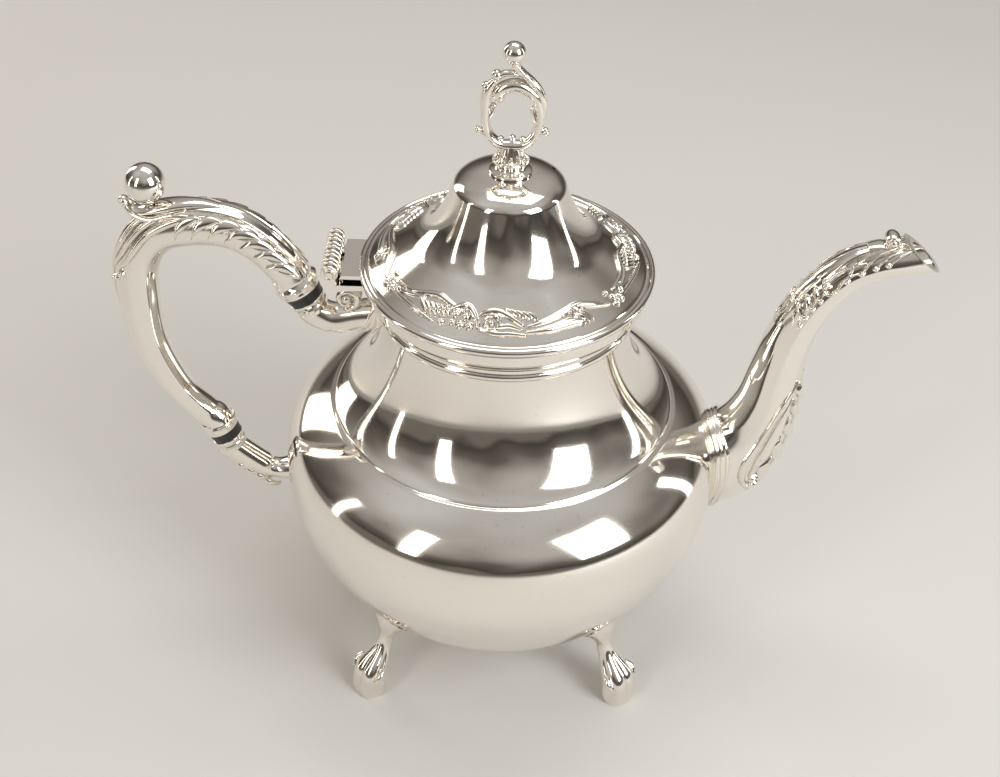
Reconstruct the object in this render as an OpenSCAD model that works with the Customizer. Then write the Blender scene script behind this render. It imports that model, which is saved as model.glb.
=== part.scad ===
// Teapot on four cast feet, with a hinged bell-shaped lid.
// Origin: on the table, under the axis of the pot. +X to the spout, -X to the handle, +Z up.

/* [Body] */
// Greatest radius of the bowl
body_r = 79; // [70:1:90]
// Height of the widest part of the bowl above the table
belly_z = 82; // [76:1:88]
// Radius of the flat base
base_r = 26; // [20:1:32]
// Height of the base above the table
base_z = 17; // [12:1:20]
// Radius of the seam between bowl and shoulder
seam_r = 60.5; // [56:0.5:64]
// Height of the seam above the table
seam_z = 111; // [108:1:114]
// Outer radius of the neck
neck_r = 42; // [39:0.5:44]
// Height of the top of the neck
neck_z = 150; // [146:1:156]
// Thickness of the silver sheet of the body and lid
wall = 1.4; // [1:0.1:1.8]

/* [Mouth] */
// Outer radius of the collar at the mouth
collar_r = 48; // [47:0.5:49]
// Height of the collar above the neck
collar_h = 14.5; // [12:0.5:17]

/* [Lid] */
// Radius of the lid's rim
lid_r = 49.7; // [49.5:0.1:51]
// Thickness of the lid's rolled rim
rim_h = 2.8; // [2.4:0.2:3.4]
// Rise of the brim from its rim to the foot of the bell
brim_rise = 8.5; // [7:0.5:10]
// Radius of the foot of the bell
bell_r = 32; // [30:0.5:33]
// Height of the bell above the brim
bell_h = 26.5; // [23:0.5:29]
// Radius of the shoulder at the top of the bell
bell_top_r = 17; // [15:0.5:18.5]
// Depth of the bezel below the rim
bezel_h = 5; // [4:0.5:8]
// Gap between the bezel and the mouth
bezel_gap = 0.9; // [0.8:0.1:1.2]
// Radius of the steam vent
vent_r = 0.7; // [0.5:0.1:1]

/* [Finial] */
// Width of the openwork ring, outside
finial_w = 20; // [16:1:23]
// Height of the openwork ring, outside
finial_h = 23; // [19:1:27]
// Distance from the top of the ring to the middle of the finial's ball
finial_neck = 9.6; // [6:0.2:12]
// Radius of the finial's ball
finial_ball_r = 3.6; // [3:0.1:4.2]
// Radius of the finial's screw
screw_r = 1.5; // [1.2:0.1:2]

/* [Hinge] */
// Distance from the lid's rim out to the hinge axis
hinge_reach = 8.8; // [8:0.2:11]
// Length of the hinge barrel
hinge_len = 24; // [20:1:28]
// Outer radius of the knuckles
knuckle_r = 2.6; // [2.4:0.1:2.8]
// Radius of the hinge pin
pin_r = 1; // [0.8:0.1:1.2]

/* [Spout] */
// Distance from the axis of the pot to the middle of the spout's mouth
spout_reach = 139; // [134:1:150]
// Height of the middle of the spout's mouth
spout_z = 174; // [170:1:180]
// Height of the middle of the spout's root
spout_root_z = 81; // [78:1:84]
// Thickness of the spout's wall
spout_wall = 1.3; // [1:0.1:1.6]

/* [Handle] */
// Distance of the grip's back from the side of the bowl
handle_out = 47; // [44:1:54]
// Largest radius of the grip
grip_r = 7.3; // [6.5:0.1:8]
// Radius of the thumb ball
ball_r = 6.7; // [5:0.1:7]
// Length of each insulating ring
insulator_h = 8; // [6:0.5:9]
// Length of each insulator's tenons
tenon_h = 5; // [4:0.5:6]
// Radius of the pins through the tenons
tenon_pin_r = 0.7; // [0.5:0.1:0.9]

/* [Feet] */
// Distance of each foot's pad from the axis
foot_r = 67.5; // [62:0.5:72]
// Width of a foot's leaf plate
plate_w = 28; // [22:1:32]
// Width of a foot's pad
pad_w = 14; // [11:1:17]

/* [Hidden] */
silver = "silver";
$fn = 64;

// Running clearance round the hinge pin, gap between knuckles and gap under the closed lid
pin_gap = 0.05;
knuckle_gap = 0.2;
lid_gap = 0.05;
// Clearance of a tenon in its bore and of a pin in its hole
tenon_gap = 0.1;
pin_hole_gap = 0.02;
// Gaps for the solder under the upper socket, and over the finial's nut
solder_gap = 0.1;
nut_gap = 0.06;
// Overlap of cutting tools past the surface that they cut
eps = 1;

// ---- curves -------------------------------------------------------------------------------
function bez(p, t) = pow(1 - t, 3) * p[0] + 3 * pow(1 - t, 2) * t * p[1]
    + 3 * (1 - t) * t * t * p[2] + pow(t, 3) * p[3];
function bez_dir(p, t) = pow(1 - t, 2) * (p[1] - p[0]) + 2 * (1 - t) * t * (p[2] - p[1])
    + t * t * (p[3] - p[2]);
// Points of a cubic curve, and the same moved by w to the left of its direction
function curve(p, n) = [for (i = [0:n]) bez(p, i / n)];
function curve_left(p, n, w) = [for (i = [0:n]) let (d = bez_dir(p, i / n))
    bez(p, i / n) + w * [-d[1], d[0]] / norm(d)];
function reversed(list) = [for (i = [len(list) - 1:-1:0]) list[i]];

// Smooth run through stations: k points for each gap between two of them
function blend4(a, b, c, d, t) = 0.5 * (2 * b + (c - a) * t + (2 * a - 5 * b + 4 * c - d) * t * t
    + (3 * b - a - 3 * c + d) * t * t * t);
function smooth(s, k) = [for (i = [0:len(s) - 2], j = [0:k - 1])
    blend4(s[max(i - 1, 0)], s[i], s[i + 1], s[min(i + 2, len(s) - 1)], j / k), s[len(s) - 1]];

// A station is [x, z, half height across the path, half width along Y]. The rings of a tube
// stand square to its path, which lies in the XZ plane.
function heading(s, i) = let (a = s[max(i - 1, 0)], b = s[min(i + 1, len(s) - 1)])
    atan2(b[1] - a[1], b[0] - a[0]);
function ring(p, dir, n) = [for (j = [0:n - 1]) let (a = 360 * j / n)
    [p[0] - sin(dir) * p[2] * cos(a), p[3] * sin(a), p[1] + cos(dir) * p[2] * cos(a)]];
function grown(s, w) = [for (p = s) [p[0], p[1], p[2] + w, p[3] + w]];
function shifted(s, w) = [for (i = [0:len(s) - 1]) let (h = heading(s, i))
    [s[i][0] - sin(h) * w, s[i][1] + cos(h) * w, s[i][2], s[i][3]]];
// The same stations with the first and last moved outwards by d along the path
function lengthened(s, d) = let (m = len(s) - 1, h = heading(s, 0), t = heading(s, m))
    concat([[s[0][0] - d * cos(h), s[0][1] - d * sin(h), s[0][2], s[0][3]]],
        [for (i = [1:m - 1]) s[i]], [[s[m][0] + d * cos(t), s[m][1] + d * sin(t), s[m][2], s[m][3]]]);
function part_of(s, from, to) = [for (i = [floor(from * (len(s) - 1)):ceil(to * (len(s) - 1))]) s[i]];

module tube(s, n = 16) {
    m = len(s);
    points = [for (i = [0:m - 1]) each ring(s[i], heading(s, i), n)];
    sides = [for (i = [0:m - 2], j = [0:n - 1]) let (k = (j + 1) % n)
        each [[i * n + j, i * n + k, (i + 1) * n + j], [i * n + k, (i + 1) * n + k, (i + 1) * n + j]]];
    start = [for (j = [n - 1:-1:0]) j];
    end = [for (j = [0:n - 1]) (m - 1) * n + j];
    polyhedron(points, concat([start], sides, [end]));
}

// ---- body ---------------------------------------------------------------------------------
mouth_z = neck_z + collar_h;
seam_drop = wall * 0.9;
seam_in = [seam_r - wall * 0.5, seam_z - seam_drop];
lower_belly = [[base_r, base_z], [base_r + 20, base_z + 6], [body_r, belly_z - 36], [body_r, belly_z]];
upper_belly = [[body_r, belly_z], [body_r, belly_z + 12], [body_r, seam_z - 9.5], [seam_r, seam_z]];
shoulder_curve = [[seam_r, seam_z], [seam_r - 10.5, seam_z + 5], [neck_r, neck_z - 18],
    [neck_r, neck_z]];
curve_steps = 16;

bowl_outside = concat([[0, base_z]], curve(lower_belly, curve_steps),
    [for (i = [1:curve_steps]) bez(upper_belly, i / curve_steps)]);
bowl_inside = concat([[0, base_z + wall]], curve_left(lower_belly, curve_steps, wall),
    [for (i = [1:curve_steps - 1]) curve_left(upper_belly, curve_steps, wall)[i]], [seam_in]);
// Radius of the bowl's outside at height z, below its widest part
function belly_r(z) = lookup(z, [for (p = curve(lower_belly, 60)) [p[1], p[0]]]);

// Outline of everything within w of the bowl's side
function bowl_grown(w) = concat([[0, base_z - w]], curve_left(lower_belly, curve_steps, -w),
    [for (i = [1:curve_steps]) curve_left(upper_belly, curve_steps, -w)[i]], [[0, seam_z + w]]);
module bowl_solid() {
    rotate_extrude() polygon(concat(bowl_outside, [[0, seam_z]]));
}
module bowl() {
    color(silver) difference() {
        rotate_extrude() polygon(concat(bowl_outside, reversed(bowl_inside)));
        strainer_holes();
    }
}
// Pattern of straining holes through the bowl where the spout stands
strainer_hole_r = 1.6;
strainer_pitch = 5.5;
module strainer_holes() {
    for (row = [-3:3], col = [-1:1])
        translate([body_r - 3 * wall - 6, (col + (row % 2 == 0 ? 0 : 0.5)) * strainer_pitch,
                spout_root_z + row * strainer_pitch * 0.87])
            rotate([0, 90, 0]) cylinder(h = 20, r = strainer_hole_r);
}
module shoulder() {
    inside = curve_left(shoulder_curve, curve_steps, wall);
    color(silver) rotate_extrude()
        polygon(concat(curve(shoulder_curve, curve_steps),
            reversed([for (i = [1:curve_steps]) inside[i]]), [seam_in]));
}
// Everything inside the shoulder, the neck and the collar, grown outwards by gap
module shoulder_form(gap) {
    rotate_extrude() polygon(concat([[0, seam_z]],
        [for (p = curve(shoulder_curve, curve_steps)) p + [gap, 0]],
        [[collar_r, neck_z - gap], [collar_r, mouth_z], [0, mouth_z]]));
}
// The collar stands on the neck and carries the lid on its flat top
mouth_r = neck_r - wall;
band_h = 4.5;
module mouth_collar() {
    color(silver) rotate_extrude() polygon([[mouth_r, neck_z], [neck_r, neck_z],
        [neck_r + 1.6, neck_z + 0.6], [neck_r + 2.4, neck_z + 1.9], [neck_r + 1.8, neck_z + 3.2],
        [neck_r + 2.6, neck_z + 5.2], [collar_r - 1.8, mouth_z - band_h - 1.6],
        [collar_r, mouth_z - band_h], [collar_r, mouth_z - 0.8], [collar_r - 0.8, mouth_z],
        [mouth_r, mouth_z]]);
}

// ---- spout --------------------------------------------------------------------------------
// Root stations: distance from the bowl's side, share of the way up, half height, half width
spout_root_run = [[-12, -0.03, 19, 14], [-0.84, 0.005, 19.5, 14], [6, 0.075, 17.3, 12.8],
    [12.12, 0.18, 13.8, 11.2]];
// The others: share of the way out from the bowl's side, share of the way up, half height, half width
spout_shares = [[0.262, 0.31, 11.3, 9.8], [0.2884, 0.47, 9.5, 8.7], [0.3232, 0.61, 8.5, 7.9],
    [0.382, 0.73, 7.7, 7.3], [0.472, 0.84, 7.1, 6.9], [0.598, 0.93, 6.5, 6.6],
    [0.742, 0.975, 6, 6.5], [0.88, 0.995, 5.8, 6.6], [1.096, 1.02, 5.8, 6.8]];
function spout_height(share) = spout_root_z + share * (spout_z - spout_root_z);
spout_run = concat(
    [for (p = spout_root_run) [body_r + p[0], spout_height(p[1]), p[2], p[3]]],
    [for (p = spout_shares) [body_r + p[0] * (spout_reach - body_r), spout_height(p[1]), p[2], p[3]]]);
spout_path = smooth(spout_run, 2);
channel_path = grown(spout_path, -spout_wall);
mouth_cut = 50;

// Everything beyond the slanting mouth of the spout
module beyond_mouth() {
    translate([spout_reach, 0, spout_z]) rotate([0, 90 - mouth_cut, 0])
        translate([-30, -30, 0]) cube([60, 60, 40]);
}
module spout_tube() {
    color(silver) difference() {
        tube(spout_path);
        tube(channel_path);
        bowl_solid();
        beyond_mouth();
    }
}
spout_collar_t = 1.1;
spout_collar_w = 6.5;
// The collar is a band round the spout that follows the bowl's side
module spout_collar_form() {
    intersection() {
        tube(grown(part_of(spout_path, 0, 0.4), spout_collar_t));
        rotate_extrude() polygon(bowl_grown(spout_collar_w));
    }
}
module spout_collar() {
    color(silver) difference() {
        spout_collar_form();
        tube(spout_path);
        bowl_solid();
    }
}
leaf_t = 1.6;
module spout_leaf_upper() {
    color(silver) difference() {
        tube(shifted(part_of(spout_path, 0.6, 0.92), leaf_t));
        tube(spout_path);
    }
}
module spout_leaf_lower() {
    color(silver) difference() {
        tube(shifted(part_of(spout_path, 0.19, 0.42), -leaf_t));
        tube(spout_path);
        spout_collar_form();
    }
}
scroll_r = 2.6;
scroll_w = 6.4;
module spout_scroll() {
    at = spout_path[round(0.93 * (len(spout_path) - 1))];
    color(silver) difference() {
        translate([at[0] - 5, scroll_w / 2, at[1] + at[2] + 1.2])
            rotate([90, 0, 0]) cylinder(h = scroll_w, r = scroll_r);
        tube(spout_path);
        spout_leaf_upper();
    }
}

// ---- handle -------------------------------------------------------------------------------
// Heights run from the lower root (0) to the upper root (1). Distances are from the bowl's side.
low_z = belly_z - 10;
up_z = neck_z - 4;
function handle_z(share) = low_z + share * (up_z - low_z);
function handle_at(out, share, a) = [-body_r - out, handle_z(share), a, a];
// The faces where the insulators meet the grip, each with its direction towards the grip
top_face = [-body_r + 7.7, handle_z(1.125)];
top_dir = 117;
low_face = [-body_r - 0.54 * handle_out, handle_z(0.26)];
low_dir = 112;
sleeve_r = 7.8;
low_sleeve_r = 6.5;
function along(p, dir, d) = [p[0] + d * cos(dir), p[1] + d * sin(dir)];
function station(p, r) = [p[0], p[1], r, r];
// The first and last stations lie in line, so that the ends stand square on the insulators
grip_run = [station(top_face, sleeve_r), station(along(top_face, top_dir, 3), sleeve_r - 0.6),
    station(along(top_face, top_dir, 7), grip_r - 0.7),
    handle_at(0.08 * handle_out, 1.345, grip_r - 0.6),
    handle_at(0.28 * handle_out, 1.425, grip_r - 0.1),
    handle_at(0.53 * handle_out, 1.44, grip_r + 0.2), handle_at(0.8 * handle_out, 1.39, grip_r + 0.1),
    handle_at(0.965 * handle_out, 1.235, grip_r), handle_at(handle_out, 1, grip_r - 0.3),
    handle_at(0.965 * handle_out, 0.745, grip_r - 1), handle_at(0.815 * handle_out, 0.495, grip_r - 2),
    station(along(low_face, low_dir + 14, 8), grip_r - 1.8),
    station(along(low_face, low_dir, 3.6), low_sleeve_r - 0.7),
    station(along(low_face, low_dir, 1.5), low_sleeve_r - 0.2), station(low_face, low_sleeve_r)];
grip_path = smooth(grip_run, 2);
grip_wall = 1.2;
tenon_r = 4.2;
low_tenon_r = 3.6;
root_r = 5.6;
low_root_r = 5.3;
top_socket_face = along(top_face, top_dir, -insulator_h);
low_socket_face = along(low_face, low_dir, -insulator_h);

// Moves children from the Z axis to stand on a face of the handle
module on_face(p, dir) {
    translate([p[0], 0, p[1]]) rotate([0, 90 - dir, 0]) children();
}
// A pin across the tenon at distance d from face p
module cross_pin(p, dir, d, r, length) {
    translate([along(p, dir, d)[0], length / 2, along(p, dir, d)[1]])
        rotate([90, 0, 0]) cylinder(h = length, r = r);
}
// The pins of an insulator that ends at face p: one in the grip's sleeve, one in the socket
module pin_row(p, dir, r, in_sleeve, in_socket) {
    cross_pin(p, dir, tenon_h / 2, r, in_sleeve);
    cross_pin(p, dir, -insulator_h - tenon_h / 2, r, in_socket);
}
through = 30;
module all_pin_holes() {
    pin_row(top_face, top_dir, tenon_pin_r + pin_hole_gap, through, through);
    pin_row(low_face, low_dir, tenon_pin_r + pin_hole_gap, through, through);
}
module insulator(p, dir, r_grip, r_socket, r_tenon) {
    color("black") difference() {
        on_face(p, dir) translate([0, 0, -insulator_h]) {
            cylinder(h = insulator_h, r1 = r_socket, r2 = r_grip);
            translate([0, 0, -tenon_h]) cylinder(h = insulator_h + 2 * tenon_h, r = r_tenon);
        }
        all_pin_holes();
    }
}
module insulator_upper() {
    insulator(top_face, top_dir, sleeve_r - 0.4, root_r - 0.1, tenon_r);
}
module insulator_lower() {
    insulator(low_face, low_dir, low_sleeve_r - 0.3, low_root_r - 0.1, low_tenon_r);
}
pin_proud = 0.8;
module insulator_pins() {
    color(silver) {
        pin_row(top_face, top_dir, tenon_pin_r, 2 * tenon_r + pin_proud, 2 * root_r - 1);
        pin_row(low_face, low_dir, tenon_pin_r, 2 * low_tenon_r + pin_proud, 2 * low_root_r - 1);
    }
}
module handle_grip() {
    color(silver) difference() {
        tube(grip_path);
        tube(grown(lengthened(grip_path, eps), -grip_wall));
    }
}
back_leaf_t = 1.5;
function leaf_station(out, share, half_w) =
    [-body_r - out * handle_out, handle_z(share), back_leaf_t, half_w];
module handle_leaf() {
    color(silver) difference() {
        tube(smooth([leaf_station(0.72, 1.5, 3.4), leaf_station(0.925, 1.453, 5.5),
            leaf_station(1.07, 1.351, 5.2), leaf_station(1.145, 1.257, 3.6),
            leaf_station(1.198, 1.19, 0.8)], 3), 12);
        tube(grip_path);
        thumb_scroll_form();
    }
}
module thumb_scroll_form() {
    tube(smooth([handle_at(0.99 * handle_out, 1.555, 1.4), handle_at(0.98 * handle_out, 1.51, 2.6),
        handle_at(0.87 * handle_out, 1.49, 3.4), handle_at(0.72 * handle_out, 1.5, 3.6),
        handle_at(0.58 * handle_out, 1.515, 2.4)], 3), 12);
}
module thumb_scroll() {
    color(silver) difference() {
        thumb_scroll_form();
        tube(grip_path);
    }
}
ball_out = 0.83 * handle_out;
ball_z = handle_z(1.64);
ball_neck_r = 3;
module thumb_ball() {
    color(silver) difference() {
        union() {
            translate([-body_r - ball_out, 0, ball_z]) sphere(r = ball_r);
            translate([-body_r - ball_out, 0, handle_z(1.5)])
                cylinder(h = ball_z - handle_z(1.5), r = ball_neck_r);
        }
        thumb_scroll_form();
        tube(grip_path);
    }
}
// Straight start of each socket, one span long: it stands square on its insulator, and no ring
// of the tube crosses the hole of the pin
socket_straight = 4.4;
module socket_bore(p, dir, r) {
    on_face(p, dir) translate([0, 0, -tenon_h - 0.3]) cylinder(h = tenon_h + eps, r = r + tenon_gap);
}
module handle_socket_upper() {
    path = concat([station(top_socket_face, root_r)], smooth([
        station(along(top_socket_face, top_dir, -socket_straight), root_r),
        [-0.5 * (body_r + neck_r) + 1.5, up_z - 4.5, root_r - 0.2, root_r],
        [-neck_r - 8, up_z - 2.5, root_r - 0.6, root_r], [-neck_r + 6, up_z, root_r, root_r + 1]], 3));
    color(silver) difference() {
        tube(path, 16);
        shoulder_form(solder_gap);
        socket_bore(top_socket_face, top_dir, tenon_r);
        all_pin_holes();
    }
}
module handle_socket_lower() {
    path = concat([station(low_socket_face, low_root_r)], smooth([
        station(along(low_socket_face, low_dir, -socket_straight), low_root_r),
        [-body_r - 0.24 * handle_out, low_z - 0.5, low_root_r, low_root_r],
        [-body_r - 5, low_z - 2.5, low_root_r - 0.8, low_root_r],
        [-body_r + 5, low_z - 1, low_root_r + 0.6, low_root_r + 2]], 3));
    color(silver) difference() {
        tube(path, 16);
        bowl_solid();
        socket_bore(low_socket_face, low_dir, low_tenon_r);
        all_pin_holes();
    }
}

// ---- hinge --------------------------------------------------------------------------------
hinge_x = -lid_r - hinge_reach;
hinge_z = mouth_z + lid_gap + 0.5 * rim_h + 1.8;
knuckles = 5;
knuckle_w = (hinge_len - (knuckles - 1) * knuckle_gap) / knuckles;
leaf_w = hinge_len - 2;
pot_leaf_t = 2;
lid_leaf_t = 1.4;
lid_leaf_room = 1.2;
function knuckle_y(i) = -hinge_len / 2 + i * (knuckle_w + knuckle_gap);

module knuckle_row(list) {
    for (i = list) translate([hinge_x, knuckle_y(i) + knuckle_w, hinge_z])
        rotate([90, 0, 0]) cylinder(h = knuckle_w, r = knuckle_r);
}
module pin_bore() {
    translate([hinge_x, hinge_len / 2 + eps, hinge_z])
        rotate([90, 0, 0]) cylinder(h = hinge_len + 2 * eps, r = pin_r + pin_gap);
}
module hinge_leaf_pot() {
    leaf_top = mouth_z - 1;
    color(silver) difference() {
        union() {
            knuckle_row([0, 2, 4]);
            for (i = [0, 2, 4])
                translate([hinge_x - knuckle_r * 0.75, knuckle_y(i), leaf_top - pot_leaf_t])
                    cube([knuckle_r * 1.5, knuckle_w, hinge_z - leaf_top + pot_leaf_t]);
            translate([hinge_x - knuckle_r * 0.75, -hinge_len / 2, leaf_top - pot_leaf_t])
                cube([hinge_reach + 12, hinge_len, pot_leaf_t]);
        }
        cylinder(h = mouth_z + eps, r = collar_r);
        pin_bore();
        // Room for the lid's knuckles to turn
        for (i = [1, 3]) translate([hinge_x, knuckle_y(i) + knuckle_w + knuckle_gap, hinge_z])
            rotate([90, 0, 0]) cylinder(h = knuckle_w + 2 * knuckle_gap, r = knuckle_r + 0.4);
    }
}
module hinge_leaf_lid() {
    color(silver) difference() {
        union() {
            knuckle_row([1, 3]);
            translate([hinge_x, -leaf_w / 2, rim_z + 0.54 * rim_h - lid_leaf_t / 2])
                cube([hinge_reach + 6, leaf_w, lid_leaf_t]);
        }
        pin_bore();
        // The leaf ends on the lid's rolled rim
        rotate_extrude() polygon(concat([[0, rim_z - eps], [lid_r - 1, rim_z - eps]], rim_outline,
            [[lid_r - 1.2, brim_z + 4], [0, brim_z + 4]]));
        // Room for the pot's knuckles and their webs
        for (i = [0, 2, 4]) translate([hinge_x, knuckle_y(i) + knuckle_w + knuckle_gap, hinge_z])
            rotate([90, 0, 0]) cylinder(h = knuckle_w + 2 * knuckle_gap, r = knuckle_r + lid_leaf_room);
    }
}
module hinge_pin() {
    color(silver) translate([hinge_x, hinge_len / 2 + 0.6, hinge_z])
        rotate([90, 0, 0]) cylinder(h = hinge_len + 1.2, r = pin_r);
}

// ---- lid ----------------------------------------------------------------------------------
rim_z = mouth_z + lid_gap;
brim_z = rim_z + rim_h;
bell_z = brim_z + brim_rise;
bell_top_z = bell_z + bell_h;
function brim_top(r) = brim_z + (lid_r - 3 - r) * brim_rise / (lid_r - 3 - bell_r);
bell_curve = [[bell_r, bell_z], [bell_r - 7, bell_z + 4], [bell_top_r + 4.6, bell_top_z - 14.75],
    [bell_top_r + 1.5, bell_top_z - 5.35]];
bell_crown = [[bell_top_r + 1.5, bell_top_z - 5.35], [bell_top_r + 0.45, bell_top_z - 1.15],
    [bell_top_r - 3.5, bell_top_z], [0, bell_top_z]];
bezel_r = mouth_r - bezel_gap;

rim_outline = [[lid_r - 1, rim_z], [lid_r - 0.3, rim_z + 0.3 * rim_h], [lid_r, rim_z + 0.5 * rim_h],
    [lid_r - 0.3, rim_z + 0.75 * rim_h], [lid_r - 1.2, brim_z]];
module lid_brim() {
    color(silver) rotate_extrude() polygon(concat([[bezel_r - 1.5, rim_z]], rim_outline,
        [[lid_r - 3, brim_z], [bell_r, bell_z], [bell_r - wall, bell_z - wall],
        [lid_r - 6, brim_z - 1.2]]));
}
border_in = bell_r + 2;
border_out = lid_r - 6;
border_t = 1;
border_bosses = 20;
boss_r = 2.4;
boss_h = 1.8;
boss_root = 0.4 * border_t;
brim_slope = atan(brim_rise / (lid_r - 3 - bell_r));
// Each boss stands square to the brim and starts inside the border's band
module lid_border() {
    mid = (border_in + border_out) / 2;
    color(silver) {
        rotate_extrude() polygon([[border_in, brim_top(border_in)], [border_out, brim_top(border_out)],
            [border_out - 1, brim_top(border_out - 1) + border_t],
            [border_in + 1, brim_top(border_in + 1) + border_t]]);
        for (i = [0:border_bosses - 1]) rotate(i * 360 / border_bosses)
            translate([mid, 0, brim_top(mid)]) rotate([0, brim_slope, 0])
                translate([0, 0, boss_root])
                    cylinder(h = boss_h - boss_root, r1 = boss_r, r2 = 0.55 * boss_r);
    }
}
vent_at = [14, 6.2, bell_top_z];
module lid_bell() {
    flank = curve_left(bell_curve, 12, wall);
    crown = curve_left(bell_crown, 8, wall);
    color(silver) difference() {
        rotate_extrude() polygon(concat(curve(bell_curve, 12), [for (i = [1:8]) bez(bell_crown, i / 8)],
            [[0, bell_top_z - wall]], [for (i = [7:-1:2]) crown[i]], [for (i = [11:-1:1]) flank[i]],
            [[bell_r - wall, bell_z - wall]]));
        translate([0, 0, bell_top_z - 5]) cylinder(h = 10, r = screw_r + pin_hole_gap);
        translate(vent_at - [0, 0, 6]) cylinder(h = 10, r = vent_r);
    }
}
module lid_bezel() {
    color(silver) rotate_extrude() polygon([
        [bezel_r - 1.3, rim_z - bezel_h], [bezel_r - 0.5, rim_z - bezel_h],
        [bezel_r, rim_z - bezel_h + 0.8], [bezel_r, rim_z], [bezel_r - 1.3, rim_z]]);
}
finial_base_h = 4.5;
base_top_r = 4.4;
module finial_base() {
    color(silver) difference() {
        translate([0, 0, bell_top_z]) rotate_extrude() polygon([[0, 0], [6.5, 0], [7, 0.5], [6.3, 1.2],
            [5, 1.8], [base_top_r, 2.6], [base_top_r, finial_base_h], [0, finial_base_h]]);
        translate([0, 0, bell_top_z - eps])
            cylinder(h = finial_base_h + 2 * eps, r = screw_r + pin_hole_gap);
    }
}
ring_z = bell_top_z + finial_base_h;
stem_h = 3.5;
band_r = 1.65;
band_half_w = 2.7;
loop_z = ring_z + stem_h;
finial_ball_z = loop_z + finial_h + finial_neck;
screw_in = 1.6;
// The openwork loop, its stem on the base and its neck under the ball
module finial_ring() {
    w = finial_w / 2 - band_r;
    h = finial_h / 2 - band_r;
    steps = 28;
    loop = [for (i = [0:steps - 1]) let (a = i * 360 / steps - 90)
        [w * cos(a), loop_z + finial_h / 2 + h * sin(a), band_r, band_half_w]];
    color(silver) difference() {
        union() {
            ring_tube(loop, 10);
            translate([0, 0, ring_z])
                cylinder(h = stem_h + band_r, r1 = base_top_r, r2 = band_half_w - 0.4);
            translate([0, 0, loop_z + finial_h - band_r])
                cylinder(h = finial_neck + band_r - 1, r1 = band_half_w - 0.4, r2 = 1.6);
        }
        translate([0, 0, ring_z - eps]) cylinder(h = screw_in + eps + 0.4, r = screw_r + pin_hole_gap);
        translate([0, 0, finial_ball_z]) sphere(r = finial_ball_r);
    }
}
// A tube whose last ring joins its first
module ring_tube(s, n) {
    m = len(s);
    points = [for (i = [0:m - 1]) let (a = s[(i + m - 1) % m], b = s[(i + 1) % m])
        each ring(s[i], atan2(b[1] - a[1], b[0] - a[0]), n)];
    polyhedron(points, [for (i = [0:m - 1], j = [0:n - 1])
        let (k = (j + 1) % n, u = (i + 1) % m)
        each [[i * n + j, i * n + k, u * n + j], [i * n + k, u * n + k, u * n + j]]]);
}
module finial_ball() {
    color(silver) translate([0, 0, finial_ball_z]) sphere(r = finial_ball_r);
}
nut_h = 2.5;
screw_out = 1.5;
module finial_screw() {
    below = wall + nut_gap + nut_h + screw_out;
    color(silver) translate([0, 0, bell_top_z - below])
        cylinder(h = finial_base_h + screw_in + below, r = screw_r);
}
module finial_nut() {
    color(silver) translate([0, 0, bell_top_z - wall - nut_gap - nut_h]) difference() {
        cylinder(h = nut_h, r = 3.4, $fn = 6);
        translate([0, 0, -eps]) cylinder(h = nut_h + 2 * eps, r = screw_r + pin_hole_gap);
    }
}

// ---- feet ---------------------------------------------------------------------------------
foot_top_z = 34;
module foot() {
    top_r = belly_r(foot_top_z);
    path = smooth([[top_r - 3, foot_top_z + 4, 2.5, plate_w / 2],
        [top_r + 1, foot_top_z - 2, 2.6, plate_w / 2 - 1],
        [top_r + 1.8, foot_top_z - 6, 2.8, plate_w / 4], [top_r + 2.6, foot_top_z - 11, 2.8, 3.2],
        [top_r + 5.2, foot_top_z - 17, 3.4, 3.6], [foot_r - 1.2, 10, 5, pad_w / 2 - 0.6],
        [foot_r, 5, 5.4, pad_w / 2], [foot_r + 0.4, -2, 4.4, pad_w / 2 - 2]], 3);
    color(silver) difference() {
        tube(path, 16);
        bowl_solid();
        translate([foot_r - 40, -40, -20]) cube([80, 80, 20]);
    }
}
foot_turn = 45;
module foot_front_left() { rotate(180 + foot_turn) foot(); }
module foot_front_right() { rotate(-foot_turn) foot(); }
module foot_back_left() { rotate(180 - foot_turn) foot(); }
module foot_back_right() { rotate(foot_turn) foot(); }

bowl();
shoulder();
mouth_collar();
spout_tube();
spout_collar();
spout_leaf_upper();
spout_leaf_lower();
spout_scroll();
handle_socket_upper();
insulator_upper();
handle_grip();
handle_leaf();
thumb_scroll();
thumb_ball();
insulator_lower();
handle_socket_lower();
insulator_pins();
hinge_leaf_pot();
hinge_leaf_lid();
hinge_pin();
lid_brim();
lid_border();
lid_bell();
lid_bezel();
finial_base();
finial_ring();
finial_ball();
finial_screw();
finial_nut();
foot_front_left();
foot_front_right();
foot_back_left();
foot_back_right();
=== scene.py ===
import math

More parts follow.
